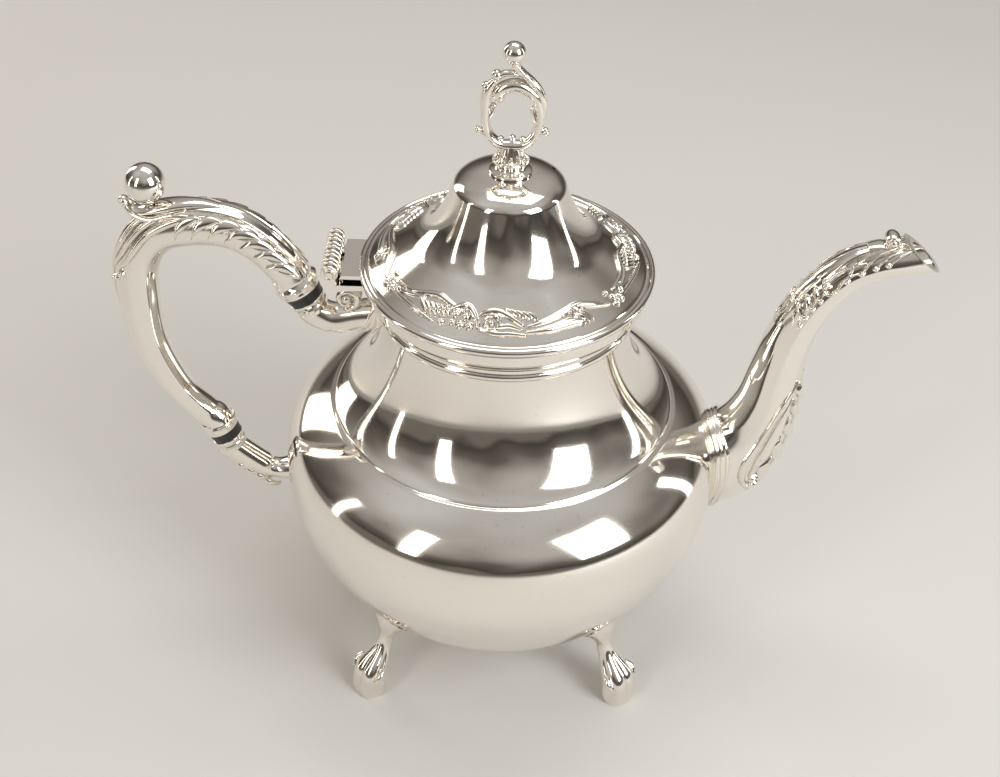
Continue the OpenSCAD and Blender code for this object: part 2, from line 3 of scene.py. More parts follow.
import bmesh
import bpy
import numpy as np
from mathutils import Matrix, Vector


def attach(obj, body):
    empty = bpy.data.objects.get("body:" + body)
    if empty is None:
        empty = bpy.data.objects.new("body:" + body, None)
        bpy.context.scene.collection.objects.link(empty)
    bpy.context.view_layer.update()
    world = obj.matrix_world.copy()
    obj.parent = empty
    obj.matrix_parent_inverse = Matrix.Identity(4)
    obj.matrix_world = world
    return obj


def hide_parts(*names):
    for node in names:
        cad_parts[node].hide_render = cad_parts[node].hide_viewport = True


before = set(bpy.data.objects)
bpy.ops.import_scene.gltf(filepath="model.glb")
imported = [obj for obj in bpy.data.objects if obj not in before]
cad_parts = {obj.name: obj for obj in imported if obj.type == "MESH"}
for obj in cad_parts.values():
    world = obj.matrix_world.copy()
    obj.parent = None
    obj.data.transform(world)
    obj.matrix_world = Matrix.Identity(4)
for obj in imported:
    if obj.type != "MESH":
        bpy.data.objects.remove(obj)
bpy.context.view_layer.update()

MM = 0.001
POT, LID = "pot", "lid"


# ---- camera -----------------------------------------------------------------------------
def place_camera():
    """Looks down on the pot from the front, rolled a little."""
    elevation, roll = math.radians(39.84), math.radians(1.8)
    distance, target = 504.9, Vector((-1.2, 0, 111.5))
    back = Vector((0, -math.cos(elevation), math.sin(elevation)))
    level, up = Vector((1, 0, 0)), Vector((0, math.sin(elevation), math.cos(elevation)))
    right = level * math.cos(roll) + up * math.sin(roll)
    top = up * math.cos(roll) - level * math.sin(roll)
    lens = bpy.data.cameras.new("camera")
    lens.sensor_width, lens.lens = 36, 50.4
    lens.clip_start, lens.clip_end = 0.01, 20
    camera = bpy.data.objects.new("camera", lens)
    bpy.context.collection.objects.link(camera)
    turn = camera.matrix_world.copy()
    for row in range(3):
        turn[row][0], turn[row][1], turn[row][2] = right[row], top[row], back[row]
        turn[row][3] = (target[row] + back[row] * distance) * MM
    camera.matrix_world = turn
    bpy.context.scene.camera = camera


place_camera()


# ---- shader maths -----------------------------------------------------------------------
class Value:
    """One socket of a node tree; operators on it add Math nodes."""

    def __init__(self, shader, socket):
        self.shader, self.socket = shader, socket

    def _math(self, operation, *values):
        node = self.shader.add("ShaderNodeMath", {"operation": operation}, values)
        return Value(self.shader, node.outputs[0])

    def __add__(self, other):
        return self._math("ADD", self, other)

    def __sub__(self, other):
        return self._math("SUBTRACT", self, other)

    def __mul__(self, other):
        return self._math("MULTIPLY", self, other)

    def power(self, other):
        return self._math("POWER", self, other)

    def clamped(self):
        return self._math("MINIMUM", self._math("MAXIMUM", self, 0.0), 1.0)

    __radd__ = __add__


class Nodes:
    """Adds nodes to one tree, with the place they are worked out from."""

    def __init__(self, tree, coordinates):
        self.nodes, self.links = tree.nodes, tree.links
        self.place = Value(self, self.add("ShaderNodeTexCoord").outputs[coordinates])

    def add(self, kind, settings=None, values=()):
        node = self.nodes.new(kind)
        for key, value in (settings or {}).items():
            if key == "stops":
                self._stops(node.color_ramp, value)
            else:
                setattr(node, key, value)
        pairs = values.items() if isinstance(values, dict) else enumerate(values)
        for key, value in pairs:
            self.feed(node.inputs[key], value)
        return node

    def _stops(self, ramp, stops):
        while len(ramp.elements) < len(stops):
            ramp.elements.new(0.5)
        for element, (place, colour) in zip(ramp.elements, stops):
            element.position, element.color = place, (*colour, 1)

    def feed(self, socket, value):
        if isinstance(value, Value):
            self.links.new(value.socket, socket)
        else:
            socket.default_value = value

    def noise(self, scale, detail, roughness, place=None):
        node = self.add("ShaderNodeTexNoise", None,
                        {"Vector": place or self.place, "Scale": scale, "Detail": detail,
                         "Roughness": roughness})
        return Value(self, node.outputs[0])

    def ramp(self, factor, stops):
        return Value(self, self.add("ShaderNodeValToRGB", {"stops": stops}, (factor,)).outputs[0])


class Shader(Nodes):
    """A material with one Principled shader."""

    def __init__(self, name):
        self.material = bpy.data.materials.new(name)
        self.material.use_nodes = True
        super().__init__(self.material.node_tree, "Object")
        self.principled = self.nodes["Principled BSDF"]

    def attribute(self, name):
        return Value(self, self.add("ShaderNodeAttribute", {"attribute_name": name}).outputs["Fac"])

    def mix(self, factor, low, high):
        node = self.add("ShaderNodeMix", {"data_type": "RGBA"}, {"Factor": factor, 6: low, 7: high})
        return Value(self, node.outputs[2])

    def bump(self, height, strength, distance):
        node = self.add("ShaderNodeBump", None,
                        {"Strength": strength, "Distance": distance, "Height": height})
        return Value(self, node.outputs[0])

    def finish(self, **inputs):
        for key, value in inputs.items():
            self.feed(self.principled.inputs[key.replace("_", " ")], value)
        return self.material


def stretched(shader, scale):
    node = shader.add("ShaderNodeMapping", None, {"Vector": shader.place, "Scale": scale})
    return Value(shader, node.outputs[0])


def silver(name, bright, tarnish_and_shade, dull, wave):
    """Polished silver: soft waves from raising, hairline wear, tarnished specks, and painted shade that
    darkens the hollows of the relief.
    """
    s = Shader(name)
    smudge = s.noise(38, 4, 0.6)
    speck = s.ramp(s.noise(420, 2, 0.5), [(0.0, (0, 0, 0)), (0.66, (0, 0, 0)), (0.74, (1, 1, 1))])
    hair = s.noise(900, 2, 0.7, stretched(s, (1, 1, 0.05)))
    # Painted shade: this mask darkens the low parts of cast relief, and also roughens them.
    hollow = s.attribute("hollow")
    shade_and_tarnish_mask = (hollow * 0.85 + speck * (smudge * 0.22)).clamped()
    # Mixes towards the second colour by the painted shade in the hollows and by tarnished specks.
    colour = s.mix(shade_and_tarnish_mask, (*bright, 1), (*tarnish_and_shade, 1))
    rough = dull + smudge.power(2.0) * 0.10 + hollow * 0.22 + hair * 0.02
    height = s.noise(26, 2, 0.4) * 0.8 + hair * 0.015
    return s.finish(Base_Color=colour, Metallic=1.0, Roughness=rough.clamped(),
                    Normal=s.bump(height, wave, 0.0004))


def composition(name):
    """Dark insulating rings: satin, with fine turned lines."""
    s = Shader(name)
    fine = s.noise(700, 2, 0.5, stretched(s, (0.2, 0.2, 1)))
    cloud = s.noise(90, 3, 0.5)
    colour = s.mix(cloud, (0.010, 0.010, 0.012, 1), (0.035, 0.033, 0.034, 1))
    return s.finish(Base_Color=colour, Roughness=0.30 + cloud * 0.18,
                    Normal=s.bump(fine, 0.25, 0.0002))


# A finish is a material and the name of its slot
# The second colour is the tone of tarnished specks and of the painted shade in the hollows of cast relief.
SHEET = silver("raised_silver", (0.90, 0.865, 0.81), (0.36, 0.29, 0.22), 0.045, 0.35), "silver"
CAST = silver("cast_silver", (0.88, 0.84, 0.78), (0.16, 0.125, 0.095), 0.085, 0.55), "silver_cast"
RING = composition("insulating_composition"), "insulator"


# ---- curves -----------------------------------------------------------------------------
def circle(n):
    """The angles of n points round a circle."""
    return np.linspace(0, 2 * math.pi, n, endpoint=False)


def bezier(a, b, c, d, n):
    t = np.linspace(0, 1, n + 1)[:, None]
    a, b, c, d = (np.array(p, float) for p in (a, b, c, d))
    return (1 - t) ** 3 * a + 3 * (1 - t) ** 2 * t * b + 3 * (1 - t) * t * t * c + t ** 3 * d


def smooth(stations, k):
    """Runs smoothly through the stations, with k points for each gap."""
    s = [np.array(p, float) for p in stations]
    last, out = len(s) - 1, []
    for i in range(last):
        a, b, c, d = s[max(i - 1, 0)], s[i], s[i + 1], s[min(i + 2, last)]
        for j in range(k):
            t = j / k
            out.append(0.5 * (2 * b + (c - a) * t + (2 * a - 5 * b + 4 * c - d) * t * t
                              + (3 * b - a - 3 * c + d) * t ** 3))
    return np.array(out + [s[last]])


def inward(points, w):
    """The same curve moved by w to the left of its direction."""
    d = np.gradient(points, axis=0)
    d /= np.linalg.norm(d, axis=1)[:, None]
    return points + w * np.stack([-d[:, 1], d[:, 0]], 1)


def rounded(points, radii, n=5):
    """A closed outline with its corners rounded, each to its own radius."""
    pts, out = [np.array(p, float) for p in points], []
    for i, (p, r) in enumerate(zip(pts, radii)):
        a, b = pts[i - 1] - p, pts[(i + 1) % len(pts)] - p
        reach = min(r, 0.45 * np.linalg.norm(a), 0.45 * np.linalg.norm(b))
        if reach < 1e-4:
            out.append(p)
            continue
        start, end = p + a / np.linalg.norm(a) * reach, p + b / np.linalg.norm(b) * reach
        for t in np.linspace(0, 1, n + 1):
            out.append((1 - t) ** 2 * start + 2 * (1 - t) * t * p + t * t * end)
    return np.array(out)


# ---- pieces -----------------------------------------------------------------------------
CREASE = 34


def piece(name, points, faces, body, nodes, finish, crease=CREASE, hollow=None):
    """A smooth mesh that stands for CAD nodes and rides on their body. Points are in mm."""
    mesh = bpy.data.meshes.new(name)
    mesh.from_pydata((np.asarray(points, float) * MM).tolist(), [], faces)
    # Painted shade: a per-point mask that the silver shader uses to darken the hollows of relief.
    if hollow is not None:
        layer = mesh.attributes.new("hollow", "FLOAT", "POINT")
        layer.data.foreach_set("value", np.asarray(hollow, np.float32).ravel())
    bm = bmesh.new()
    bm.from_mesh(mesh)
    bmesh.ops.remove_doubles(bm, verts=bm.verts, dist=2e-7)
    bmesh.ops.dissolve_degenerate(bm, edges=bm.edges, dist=1e-7)
    bmesh.ops.recalc_face_normals(bm, faces=bm.faces)
    bm.to_mesh(mesh)
    bm.free()
    mesh.shade_smooth()
    mesh.set_sharp_from_angle(angle=math.radians(crease))
    obj = bpy.data.objects.new(name, mesh)
    bpy.context.collection.objects.link(obj)
    material, record_slot = finish
    mesh.materials.append(material)
    if nodes:
        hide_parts(*nodes)
    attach(obj, body)
    return obj


def quads(rows, cols, closed_rows, closed_cols):
    """Faces of a grid of points, which may close on itself either way."""
    out = []
    for i in range(rows if closed_rows else rows - 1):
        for j in range(cols if closed_cols else cols - 1):
            k, m = (i + 1) % rows, (j + 1) % cols
            out.append((i * cols + j, i * cols + m, k * cols + m, k * cols + j))
    return out


def solid_faces(rows, n):
    """Faces of a round solid of rows by n points, with flat ends."""
    return quads(rows, n, False, True) + [tuple(range(n)), tuple(range((rows - 1) * n, rows * n))]


def sleeve_faces(rows, n):
    """Faces of a sleeve: its outer and its inner skin, rows by n points each, and a rim at each end."""
    base, faces = rows * n, quads(rows, n, False, True)
    faces += [tuple(base + i for i in f[::-1]) for f in faces]
    for row in (0, rows - 1):
        for j in range(n):
            a, b = row * n + j, row * n + (j + 1) % n
            faces.append((a, b, base + b, base + a))
    return faces


def turned(outline, turns, foot=(0, 0), direction=math.pi / 2):
    """Points of an outline of (radius, distance along the axis). The axis starts at foot, in the
    plane y = 0, and stands upright or leans to direction."""
    outline = np.asarray(outline, float)
    r, along = outline[:, 0][:, None], outline[:, 1][:, None]
    angle, c, s = circle(turns), math.cos(direction), math.sin(direction)
    return np.stack([foot[0] + along * c + r * np.cos(angle) * s, r * np.sin(angle) + 0 * along,
                     foot[1] + along * s - r * np.cos(angle) * c], -1).reshape(-1, 3)


def lathe(name, outline, body, nodes, finish=SHEET, turns=320):
    """Turns a closed outline of (radius, height) about the pot's axis."""
    return piece(name, turned(outline, turns), quads(len(outline), turns, True, True), body, nodes,
                 finish)


def apart(v, angle):
    """How far each angle of v lies from the given one, either way round."""
    return np.abs((v - angle + math.pi) % (2 * math.pi) - math.pi)


def swell(away, width):
    """1 on a line, falling softly to 0 on both sides of it."""
    return np.exp(-(away / width) ** 2)


class Limb:
    """A tube along a path in the XZ plane. Stations are x, z, half height, half width."""

    def __init__(self, stations, k):
        self.s = smooth(stations, k)
        step = np.linalg.norm(np.diff(self.s[:, :2], axis=0), axis=1)
        self.run = np.concatenate([[0], np.cumsum(step)])
        self.length = self.run[-1]
        d = np.gradient(self.s[:, :2], axis=0)
        self.dir = d / np.linalg.norm(d, axis=1)[:, None]

    def at(self, along, angle, lift=0.0):
        """Points on the surface: mm along the path, angle from its upper side towards -Y."""
        along, angle = np.broadcast_arrays(np.asarray(along, float), np.asarray(angle, float))
        x, z, a, b = (np.interp(along, self.run, self.s[:, k]) for k in range(4))
        dx, dz = (np.interp(along, self.run, self.dir[:, k]) for k in range(2))
        size = np.hypot(dx, dz)
        dx, dz = dx / size, dz / size
        c, s = np.cos(angle), np.sin(angle)
        nu, ny = c / a, s / b
        n = np.hypot(nu, ny)
        up, out = a * c + lift * nu / n, b * s + lift * ny / n
        return np.stack([x - dz * up, -out, z + dx * up], -1)

    def mesh(self, n, lift, cuts=None):
        rows = self.run if cuts is None else cuts
        angle = circle(n)
        u, v = np.meshgrid(rows, angle, indexing="ij")
        return self.at(u, v, lift(u, v) if callable(lift) else lift), len(rows)

    def leaves_body(self, angle, lift=0.0, off=0.0, start=True):
        """How far along each angle's line the limb comes out of the pot's body (off mm above it)."""
        along = np.linspace(0, self.length, 700)
        u, v = np.meshgrid(along, angle, indexing="ij")
        p = self.at(u, v, lift)
        deep = np.hypot(p[..., 0], p[..., 1]) < body_radius(p[..., 2]) + off
        if start:
            return np.where(deep.any(0), along[len(along) - 1 - np.argmax(deep[::-1], 0)], 0.0)
        return np.where(deep.any(0), along[np.argmax(deep, 0)], self.length)


def strand(stations, k=8, n=16):
    """Points and faces of a rounded strand through x, y, z, radius across, radius along Y."""
    s = smooth(stations, k)
    p = s[:, :3]
    d = np.gradient(p, axis=0)
    d /= np.linalg.norm(d, axis=1)[:, None] + 1e-12
    across = np.stack([-d[:, 2], 0 * d[:, 0], d[:, 0]], 1)
    size = np.linalg.norm(across, axis=1)[:, None]
    across = across / np.maximum(size, 1e-6)
    third = np.cross(d, across)
    angle = circle(n)
    ring = (p[:, None] + across[:, None] * (s[:, 3][:, None] * np.cos(angle))[..., None]
            + third[:, None] * (s[:, 4][:, None] * np.sin(angle))[..., None])
    rows = len(s)
    points = ring.reshape(-1, 3)
    faces = quads(rows, n, False, True)
    for row, way in ((0, -1), (rows - 1, 1)):
        tip = len(points)
        points = np.concatenate([points, [p[row] + way * d[row] * s[row, 3] * 0.7]])
        faces += [(row * n + j, row * n + (j + 1) % n, tip) for j in range(n)]
    return points, faces


def bead(x, y, z, r, squash=1.0, n=20):
    """Points and faces of a round knob."""
    polar = np.linspace(0, math.pi, n // 2 + 1)
    angle = circle(n)
    t, a = np.meshgrid(polar, angle, indexing="ij")
    points = np.stack([x + r * np.sin(t) * np.cos(a), y + r * squash * np.sin(t) * np.sin(a),
                       z + r * np.cos(t)], -1)
    return points.reshape(-1, 3), quads(len(polar), n, False, True)


def joined(parts):
    """Points and faces of several shapes, as one."""
    points, faces, base = [], [], 0
    for p, f in parts:
        points.append(p)
        faces += [tuple(base + i for i in face) for face in f]
        base += len(p)
    return np.concatenate(points), faces


def cast(name, parts, body, nodes, crease=50):
    """One cast piece made of several closed shapes."""
    piece(name, *joined(parts), body, nodes, CAST, crease)


def spiral(x, y, z, radius, degrees, across, along, n):
    """Stations of a spiral at y round x, z. Each pair gives a measure at its start and at its end."""
    share = np.linspace(0, 1, n)
    r, a, w, h = (first + (last - first) * share
                  for first, last in (radius, np.radians(degrees), across, along))
    return list(zip(x + r * np.cos(a), y + 0 * a, z + r * np.sin(a), w, h))


# ---- relief -----------------------------------------------------------------------------
def curl(x, y, start, end, a0, a1, w0, w1, h, n=14):
    """A spiral stroke about x, y: radii start to end, angles in degrees, half widths, height."""
    out = []
    for t in np.linspace(0, 1, n):
        a, r = math.radians(a0 + (a1 - a0) * t), start + (end - start) * t
        out.append((x + r * math.cos(a), y + r * math.sin(a), w0 + (w1 - w0) * t, h))
    return out


def blade(x0, y0, x1, y1, bow, w, h, n=9):
    """A leaf-shaped stroke, widest before its middle, bowed to one side."""
    out, dx, dy = [], x1 - x0, y1 - y0
    for t in np.linspace(0, 1, n):
        b = bow * math.sin(math.pi * t)
        width = w * (0.35 + 0.65 * math.sin(math.pi * min(1, t * 1.15) ** 0.8)) * (1 - 0.75 * t ** 3)
        out.append((x0 + dx * t - dy * b, y0 + dy * t + dx * b, max(width, 0.12), h * (1 - 0.35 * t)))
    return out


def raised(u, v, strokes, grooves=(), period=None):
    """Height over a sheet: rounded strokes stand up, grooves cut into them."""
    height = np.full(u.shape, -0.25)
    for kind, items in ((1, strokes), (-1, grooves)):
        for stroke in items:
            pts = smooth(stroke, 4) if len(stroke) > 2 else np.array(stroke, float)
            best = np.full(u.shape, -1.0)
            for p, q in zip(pts[:-1], pts[1:]) if len(pts) > 1 else ((pts[0], pts[0]),):
                d = q[:2] - p[:2]
                du = u - p[0]
                if period:
                    du = (du + period / 2) % period - period / 2
                dv, size = v - p[1], float(d @ d)
                t = np.clip((du * d[0] + dv * d[1]) / size, 0, 1) if size > 1e-12 else 0 * du
                away = np.hypot(du - t * d[0], dv - t * d[1])
                w, h = p[2] + (q[2] - p[2]) * t, p[3] + (q[3] - p[3]) * t
                shape = h * np.clip(1 - (away / w) ** 2, 0, 1) ** 0.62
                best = np.maximum(best, np.where(away < w, shape, -1))
            if kind > 0:
                height = np.where(best > 0, np.maximum(height, best), height)
            else:
                height = np.where((best > 0) & (height > 0), np.maximum(height - best, 0.02), height)
    return height


def softened(height, times):
    for _ in range(times):
        p = np.pad(height, 1, mode="edge")
        height = (4 * height + p[2:, 1:-1] + p[:-2, 1:-1] + p[1:-1, 2:] + p[1:-1, :-2]) / 8
    return height


SKIN_DEPTH = -0.55


def relief(name, surface, height, body, nodes, closed_rows=False):
    """A thin cast skin: surface(lift) gives the grid of points, height its relief in mm."""
    rows, cols = height.shape
    top, low = surface(height).reshape(-1, 3), surface(np.full(height.shape, SKIN_DEPTH)).reshape(-1, 3)
    base = len(top)
    faces = quads(rows, cols, closed_rows, False)
    faces += [tuple(base + i for i in f[::-1]) for f in faces]
    edges = [(i * cols, (i + 1) % rows * cols) for i in range(rows if closed_rows else rows - 1)]
    edges += [(b + cols - 1, a + cols - 1) for a, b in edges]
    if not closed_rows:
        edges += [(j + 1, j) for j in range(cols - 1)]
        edges += [((rows - 1) * cols + j, (rows - 1) * cols + j + 1) for j in range(cols - 1)]
    faces += [(a, b, base + b, base + a) for a, b in edges]
    # Painted shade: relief lower than 0.42 mm, at the feet of strokes and in grooves, is darkened; the back
    # skin gets none.
    painted_hollow_shade = np.clip(1 - np.maximum(height, 0) / 0.42, 0, 1) * (height > -0.12)
    painted_hollow_shade = np.concatenate([softened(painted_hollow_shade, 2).ravel(), np.zeros(base)])
    return piece(name, np.concatenate([top, low]), faces, body, nodes, CAST, 60, painted_hollow_shade)


def limb_relief(name, limb, span, turn, grid, strokes, grooves, nodes, width):
    """Relief on a limb. Strokes are in mm along it and round it from its upper side, with width mm
    to a radian, drawn on one side and mirrored on the other."""
    u, v = np.meshgrid(np.linspace(*span, grid[0]), np.radians(np.linspace(*turn, grid[1])), indexing="ij")
    around = np.abs(v) if turn[0] < 0 else math.pi - np.abs(math.pi - v)
    height = softened(raised(u, around * width, strokes, grooves), 1)
    relief(name, lambda lift: limb.at(u, v, lift), height, POT, nodes)


# ---- body -------------------------------------------------------------------------------
WALL = 1.4
BASE_R, BASE_Z, BODY_R, BELLY_Z, SEAM_R, SEAM_Z, NECK_R, NECK_Z = 26, 17, 79, 82, 60.5, 111, 42, 150
MOUTH_Z, COLLAR_R, MOUTH_R = 164.5, 48, 40.6

lower = bezier((BASE_R, BASE_Z), (BASE_R + 20, BASE_Z + 6), (BODY_R, BELLY_Z - 36), (BODY_R, BELLY_Z), 60)
upper = bezier((BODY_R, BELLY_Z), (BODY_R, BELLY_Z + 12), (BODY_R, SEAM_Z - 9.5), (SEAM_R, SEAM_Z), 60)
neck = bezier((SEAM_R, SEAM_Z), (SEAM_R - 10.5, SEAM_Z + 5), (NECK_R, NECK_Z - 18), (NECK_R, NECK_Z), 60)
GROOVE = 0.22
BODY_SIDE = np.concatenate([lower, upper[1:], neck[1:]])


def body_radius(z):
    """Outer radius of the bowl, shoulder and neck at height z."""
    return np.interp(z, BODY_SIDE[:, 1], BODY_SIDE[:, 0], left=0)


def make_body():
    outside = np.concatenate([[(0, BASE_Z)], lower, upper[1:-1],
                              [(SEAM_R + 0.35, SEAM_Z - 0.42), (SEAM_R + 0.05, SEAM_Z - GROOVE),
                               (SEAM_R - 0.5, SEAM_Z - GROOVE)]])
    inside = np.concatenate([[(0, BASE_Z + WALL)], inward(lower, WALL), inward(upper, WALL)[1:-1],
                             [(SEAM_R - 0.7, SEAM_Z - 1.26)]])
    bowl = lathe("bowl_raised", np.concatenate([outside, inside[::-1]]), POT, ["bowl"])
    drill_strainer(bowl)
    inner = inward(neck, WALL)[1:]
    lathe("shoulder_raised", np.concatenate([
        [(SEAM_R - 0.35, SEAM_Z + 0.02), (SEAM_R - 0.75, SEAM_Z + 0.42)], neck[2:], inner[::-1],
        [(SEAM_R - 0.7, SEAM_Z - 1.26)]]), POT, ["shoulder"])
    z = MOUTH_Z
    bead_r = [(NECK_R + 1.2 + 1.5 * math.sin(a), NECK_Z + 2.2 - 1.6 * math.cos(a))
              for a in np.linspace(0.15, math.pi - 0.3, 12)]
    rise = bezier((NECK_R + 1.6, NECK_Z + 4.4), (NECK_R + 2, NECK_Z + 7), (COLLAR_R - 3, z - 7.5),
                  (COLLAR_R - 1.4, z - 5.8), 16)
    rim = rounded([(COLLAR_R - 1.2, z - 5), (COLLAR_R, z - 4.6), (COLLAR_R, z - 0.6), (COLLAR_R - 0.8, z),
                   (MOUTH_R, z), (MOUTH_R, NECK_Z)], [0.2, 0.6, 0.5, 0.4, 0.4, 0])
    lathe("mouth_collar_turned", np.concatenate([[(NECK_R, NECK_Z)], bead_r, rise, rim]), POT,
          ["mouth_collar"])


def drill(target, name, holes):
    """Drills round holes through a piece; each hole is given as its two end rings."""
    n = len(holes[0][0])
    parts = [(np.concatenate(rings), quads(2, n, False, True)
              + [tuple(range(n)), tuple(range(2 * n - 1, n - 1, -1))]) for rings in holes]
    points, faces = joined(parts)
    mesh = bpy.data.meshes.new(name)
    mesh.from_pydata((points * MM).tolist(), [], faces)
    bm = bmesh.new()
    bm.from_mesh(mesh)
    bmesh.ops.recalc_face_normals(bm, faces=bm.faces)
    bm.to_mesh(mesh)
    bm.free()
    bit = bpy.data.objects.new(name, mesh)
    bpy.context.collection.objects.link(bit)
    cut = target.modifiers.new(name, "BOOLEAN")
    cut.operation, cut.solver, cut.object = "DIFFERENCE", "EXACT", bit
    bpy.context.view_layer.update()
    done = bpy.data.meshes.new_from_object(target.evaluated_get(bpy.context.evaluated_depsgraph_get()))
    target.modifiers.clear()
    target.data = done
    done.set_sharp_from_angle(angle=math.radians(CREASE))
    bpy.data.objects.remove(bit)


def drill_strainer(bowl):
    """Straining holes through the bowl, where the spout stands on it."""
    holes, pitch, hole_r, middle = [], 5.5, 1.6, 81
    angle = circle(20)
    for row in range(-3, 4):
        for col in range(-1, 2):
            y = (col + (0 if row % 2 == 0 else 0.5)) * pitch
            z = middle + row * pitch * 0.87
            around = y + hole_r * np.cos(angle), z + hole_r * np.sin(angle)
            holes.append([np.stack([x + 0 * angle, *around], 1) for x in (66.0, 84.0)])
    drill(bowl, "strainer", holes)


make_body()

# ---- lid --------------------------------------------------------------------------------
RIM_Z, RIM_H, LID_R, BRIM_RISE, BELL_R, BELL_H, TOP_R, BEZEL_R = 164.55, 2.8, 49.7, 8.5, 32, 26.5, 17, 39.7
BRIM_Z = RIM_Z + RIM_H
BELL_Z = BRIM_Z + BRIM_RISE
BELL_TOP = BELL_Z + BELL_H
VENT_X, VENT_Y, VENT_R = 14, 6.2, 0.7


def brim_height(r):
    return BRIM_Z + (LID_R - 3 - r) * BRIM_RISE / (LID_R - 3 - BELL_R)


def make_lid():
    roll = [(LID_R - 1.4 + 1.4 * math.cos(a), RIM_Z + 1.4 + 1.38 * math.sin(a))
            for a in np.linspace(-1.45, 1.5, 16)]
    lines = [(LID_R - 1.75, BRIM_Z - 0.28), (LID_R - 2.1, BRIM_Z - 0.02), (LID_R - 2.6, BRIM_Z + 0.12),
             (LID_R - 3.0, brim_height(LID_R - 3) - 0.16), (LID_R - 3.4, brim_height(LID_R - 3.4))]
    slope = [(r, brim_height(r)) for r in np.linspace(LID_R - 4, BELL_R + 1.5, 12)]
    lathe("lid_brim_turned", roll + lines + slope + [
        (BELL_R, BELL_Z), (BELL_R - WALL, BELL_Z - WALL), (LID_R - 6, BRIM_Z - 1.2),
        (BEZEL_R - 1.5, RIM_Z)], LID, ["lid_brim"])
    flank = bezier((BELL_R, BELL_Z), (BELL_R - 7, BELL_Z + 4), (TOP_R + 4.6, BELL_TOP - 14.75),
                   (TOP_R + 1.5, BELL_TOP - 5.35), 60)
    crown = bezier((TOP_R + 1.5, BELL_TOP - 5.35), (TOP_R + 0.5, BELL_TOP - 2.3), (TOP_R - 6.6, BELL_TOP),
                   (0, BELL_TOP), 40)
    inside = np.concatenate([inward(flank, WALL)[:-3], inward(crown, WALL)[6:-2], [(0, BELL_TOP - WALL)]])
    bell = lathe("lid_bell_raised", np.concatenate([flank, crown[1:], inside[::-1]]), LID, ["lid_bell"])
    angle = circle(24)
    around = VENT_X + VENT_R * np.cos(angle), VENT_Y + VENT_R * np.sin(angle)
    drill(bell, "vent", [[np.stack([*around, z + 0 * angle], 1) for z in (BELL_TOP - 7, BELL_TOP + 3)]])


make_lid()

# Border on the brim: along is mm round the ring at its middle, across is mm out from its inner edge
BORDER_IN, BORDER_MID, BORDER_OUT = 33.2, 39.0, 45.0
ROUND = 2 * math.pi * BORDER_MID
REPEATS = 3
BORDER_TURN = math.radians(-139.7)


def border_unit():
    """One repeat: flowing lines, fan of ribs, leaf cluster, spiral with flames, long C-scroll, knobs."""
    s, g = [], []
    s.append([(-8, 6.2, 0.5, 0.5), (0, 5.6, 0.8, 1.0), (6, 3.6, 1.0, 1.2), (10, 2.9, 1.05, 1.3),
              (15, 4.0, 0.9, 1.2), (20, 5.0, 0.6, 0.8)])
    s.append([(-11, 7.9, 0.5, 0.5), (-2, 7.3, 0.75, 0.9), (5, 5.6, 0.7, 0.9)])
    s.append([(-12, 9.6, 0.5, 0.5), (-2, 9.0, 0.8, 0.9), (6, 9.6, 0.8, 1.0), (12, 10.5, 0.5, 0.8)])
    for k in range(6):
        s.append(blade(4.4 + 1.9 * k, 6.3 - 0.28 * k, 9.6 + 1.3 * k, 10.0 - 0.42 * k, -0.08, 0.8, 1.35))
    s.append([(14.6, 9.6, 1.2, 1.3)])
    s.append([(15.6, 5.8, 0.6, 0.9), (18.4, 3.7, 1.1, 1.4), (21.4, 3.4, 1.1, 1.4),
              (24.4, 6.0, 0.9, 1.2), (25.8, 8.8, 0.6, 0.9)])
    for x, y, w in ((18.0, 6.2, 1.35), (21.4, 6.3, 1.45), (17.8, 8.8, 1.2), (20.4, 9.0, 1.35),
                    (23.2, 8.9, 1.3)):
        s.append([(x, y, w, 1.45)])
    s.append([(25.0, 6.2, 0.6, 0.9), (27.0, 4.2, 0.95, 1.3), (31.0, 3.5, 1.0, 1.4),
              (35.0, 4.9, 0.9, 1.3), (38.8, 7.4, 0.6, 0.9)])
    s.append(curl(29.6, 7.0, 2.3, 2.1, 20, -300, 0.75, 0.6, 1.3, 22))
    s.append([(29.6, 7.0, 1.0, 1.5)])
    s.append([(31.6, 8.0, 0.7, 1.2), (35.0, 7.6, 0.75, 1.2), (38.4, 8.8, 0.4, 0.8)])
    s.append([(26.6, 9.4, 0.7, 1.0), (31.0, 10.0, 0.9, 1.3), (35.0, 9.9, 0.8, 1.2),
              (39.4, 10.4, 0.5, 0.8)])
    for k in range(5):
        s.append(blade(33.4 + 1.9 * k, 2.7 + 0.3 * k, 37.0 + 1.8 * k, 5.6 + 0.5 * k, -0.1, 0.8, 1.25))
    s.append([(40.4, 7.9, 0.45, 0.7), (46.0, 6.9, 0.85, 1.2), (53.4, 5.4, 1.15, 1.5),
              (58.4, 4.9, 1.3, 1.6), (63.4, 6.6, 1.15, 1.5), (68.6, 8.9, 0.5, 0.9)])
    s.append([(39.8, 9.6, 0.5, 0.8), (47.0, 9.3, 1.2, 1.3), (53.4, 8.8, 1.5, 1.5), (56.4, 9.4, 1.2, 1.3)])
    for size in (2.5, 4.1, 5.7):
        s.append([(54.6 + size * math.cos(a), 11.0 + 1.0 * size * math.sin(a), 0.62, 1.3)
                  for a in np.radians(np.linspace(-78, -8, 8))])
    for x, y, w in ((70.4, 5.9, 0.95), (71.6, 7.9, 1.15), (74.0, 9.5, 1.6), (76.6, 8.0, 1.1),
                    (71.2, 10.2, 0.95)):
        s.append([(x, y, w, 1.4)])
    g.append([(44, 8.2, 0.22, 0.5), (52, 7.1, 0.3, 0.7), (58, 6.4, 0.3, 0.7), (63, 8.2, 0.22, 0.5)])
    return s, g


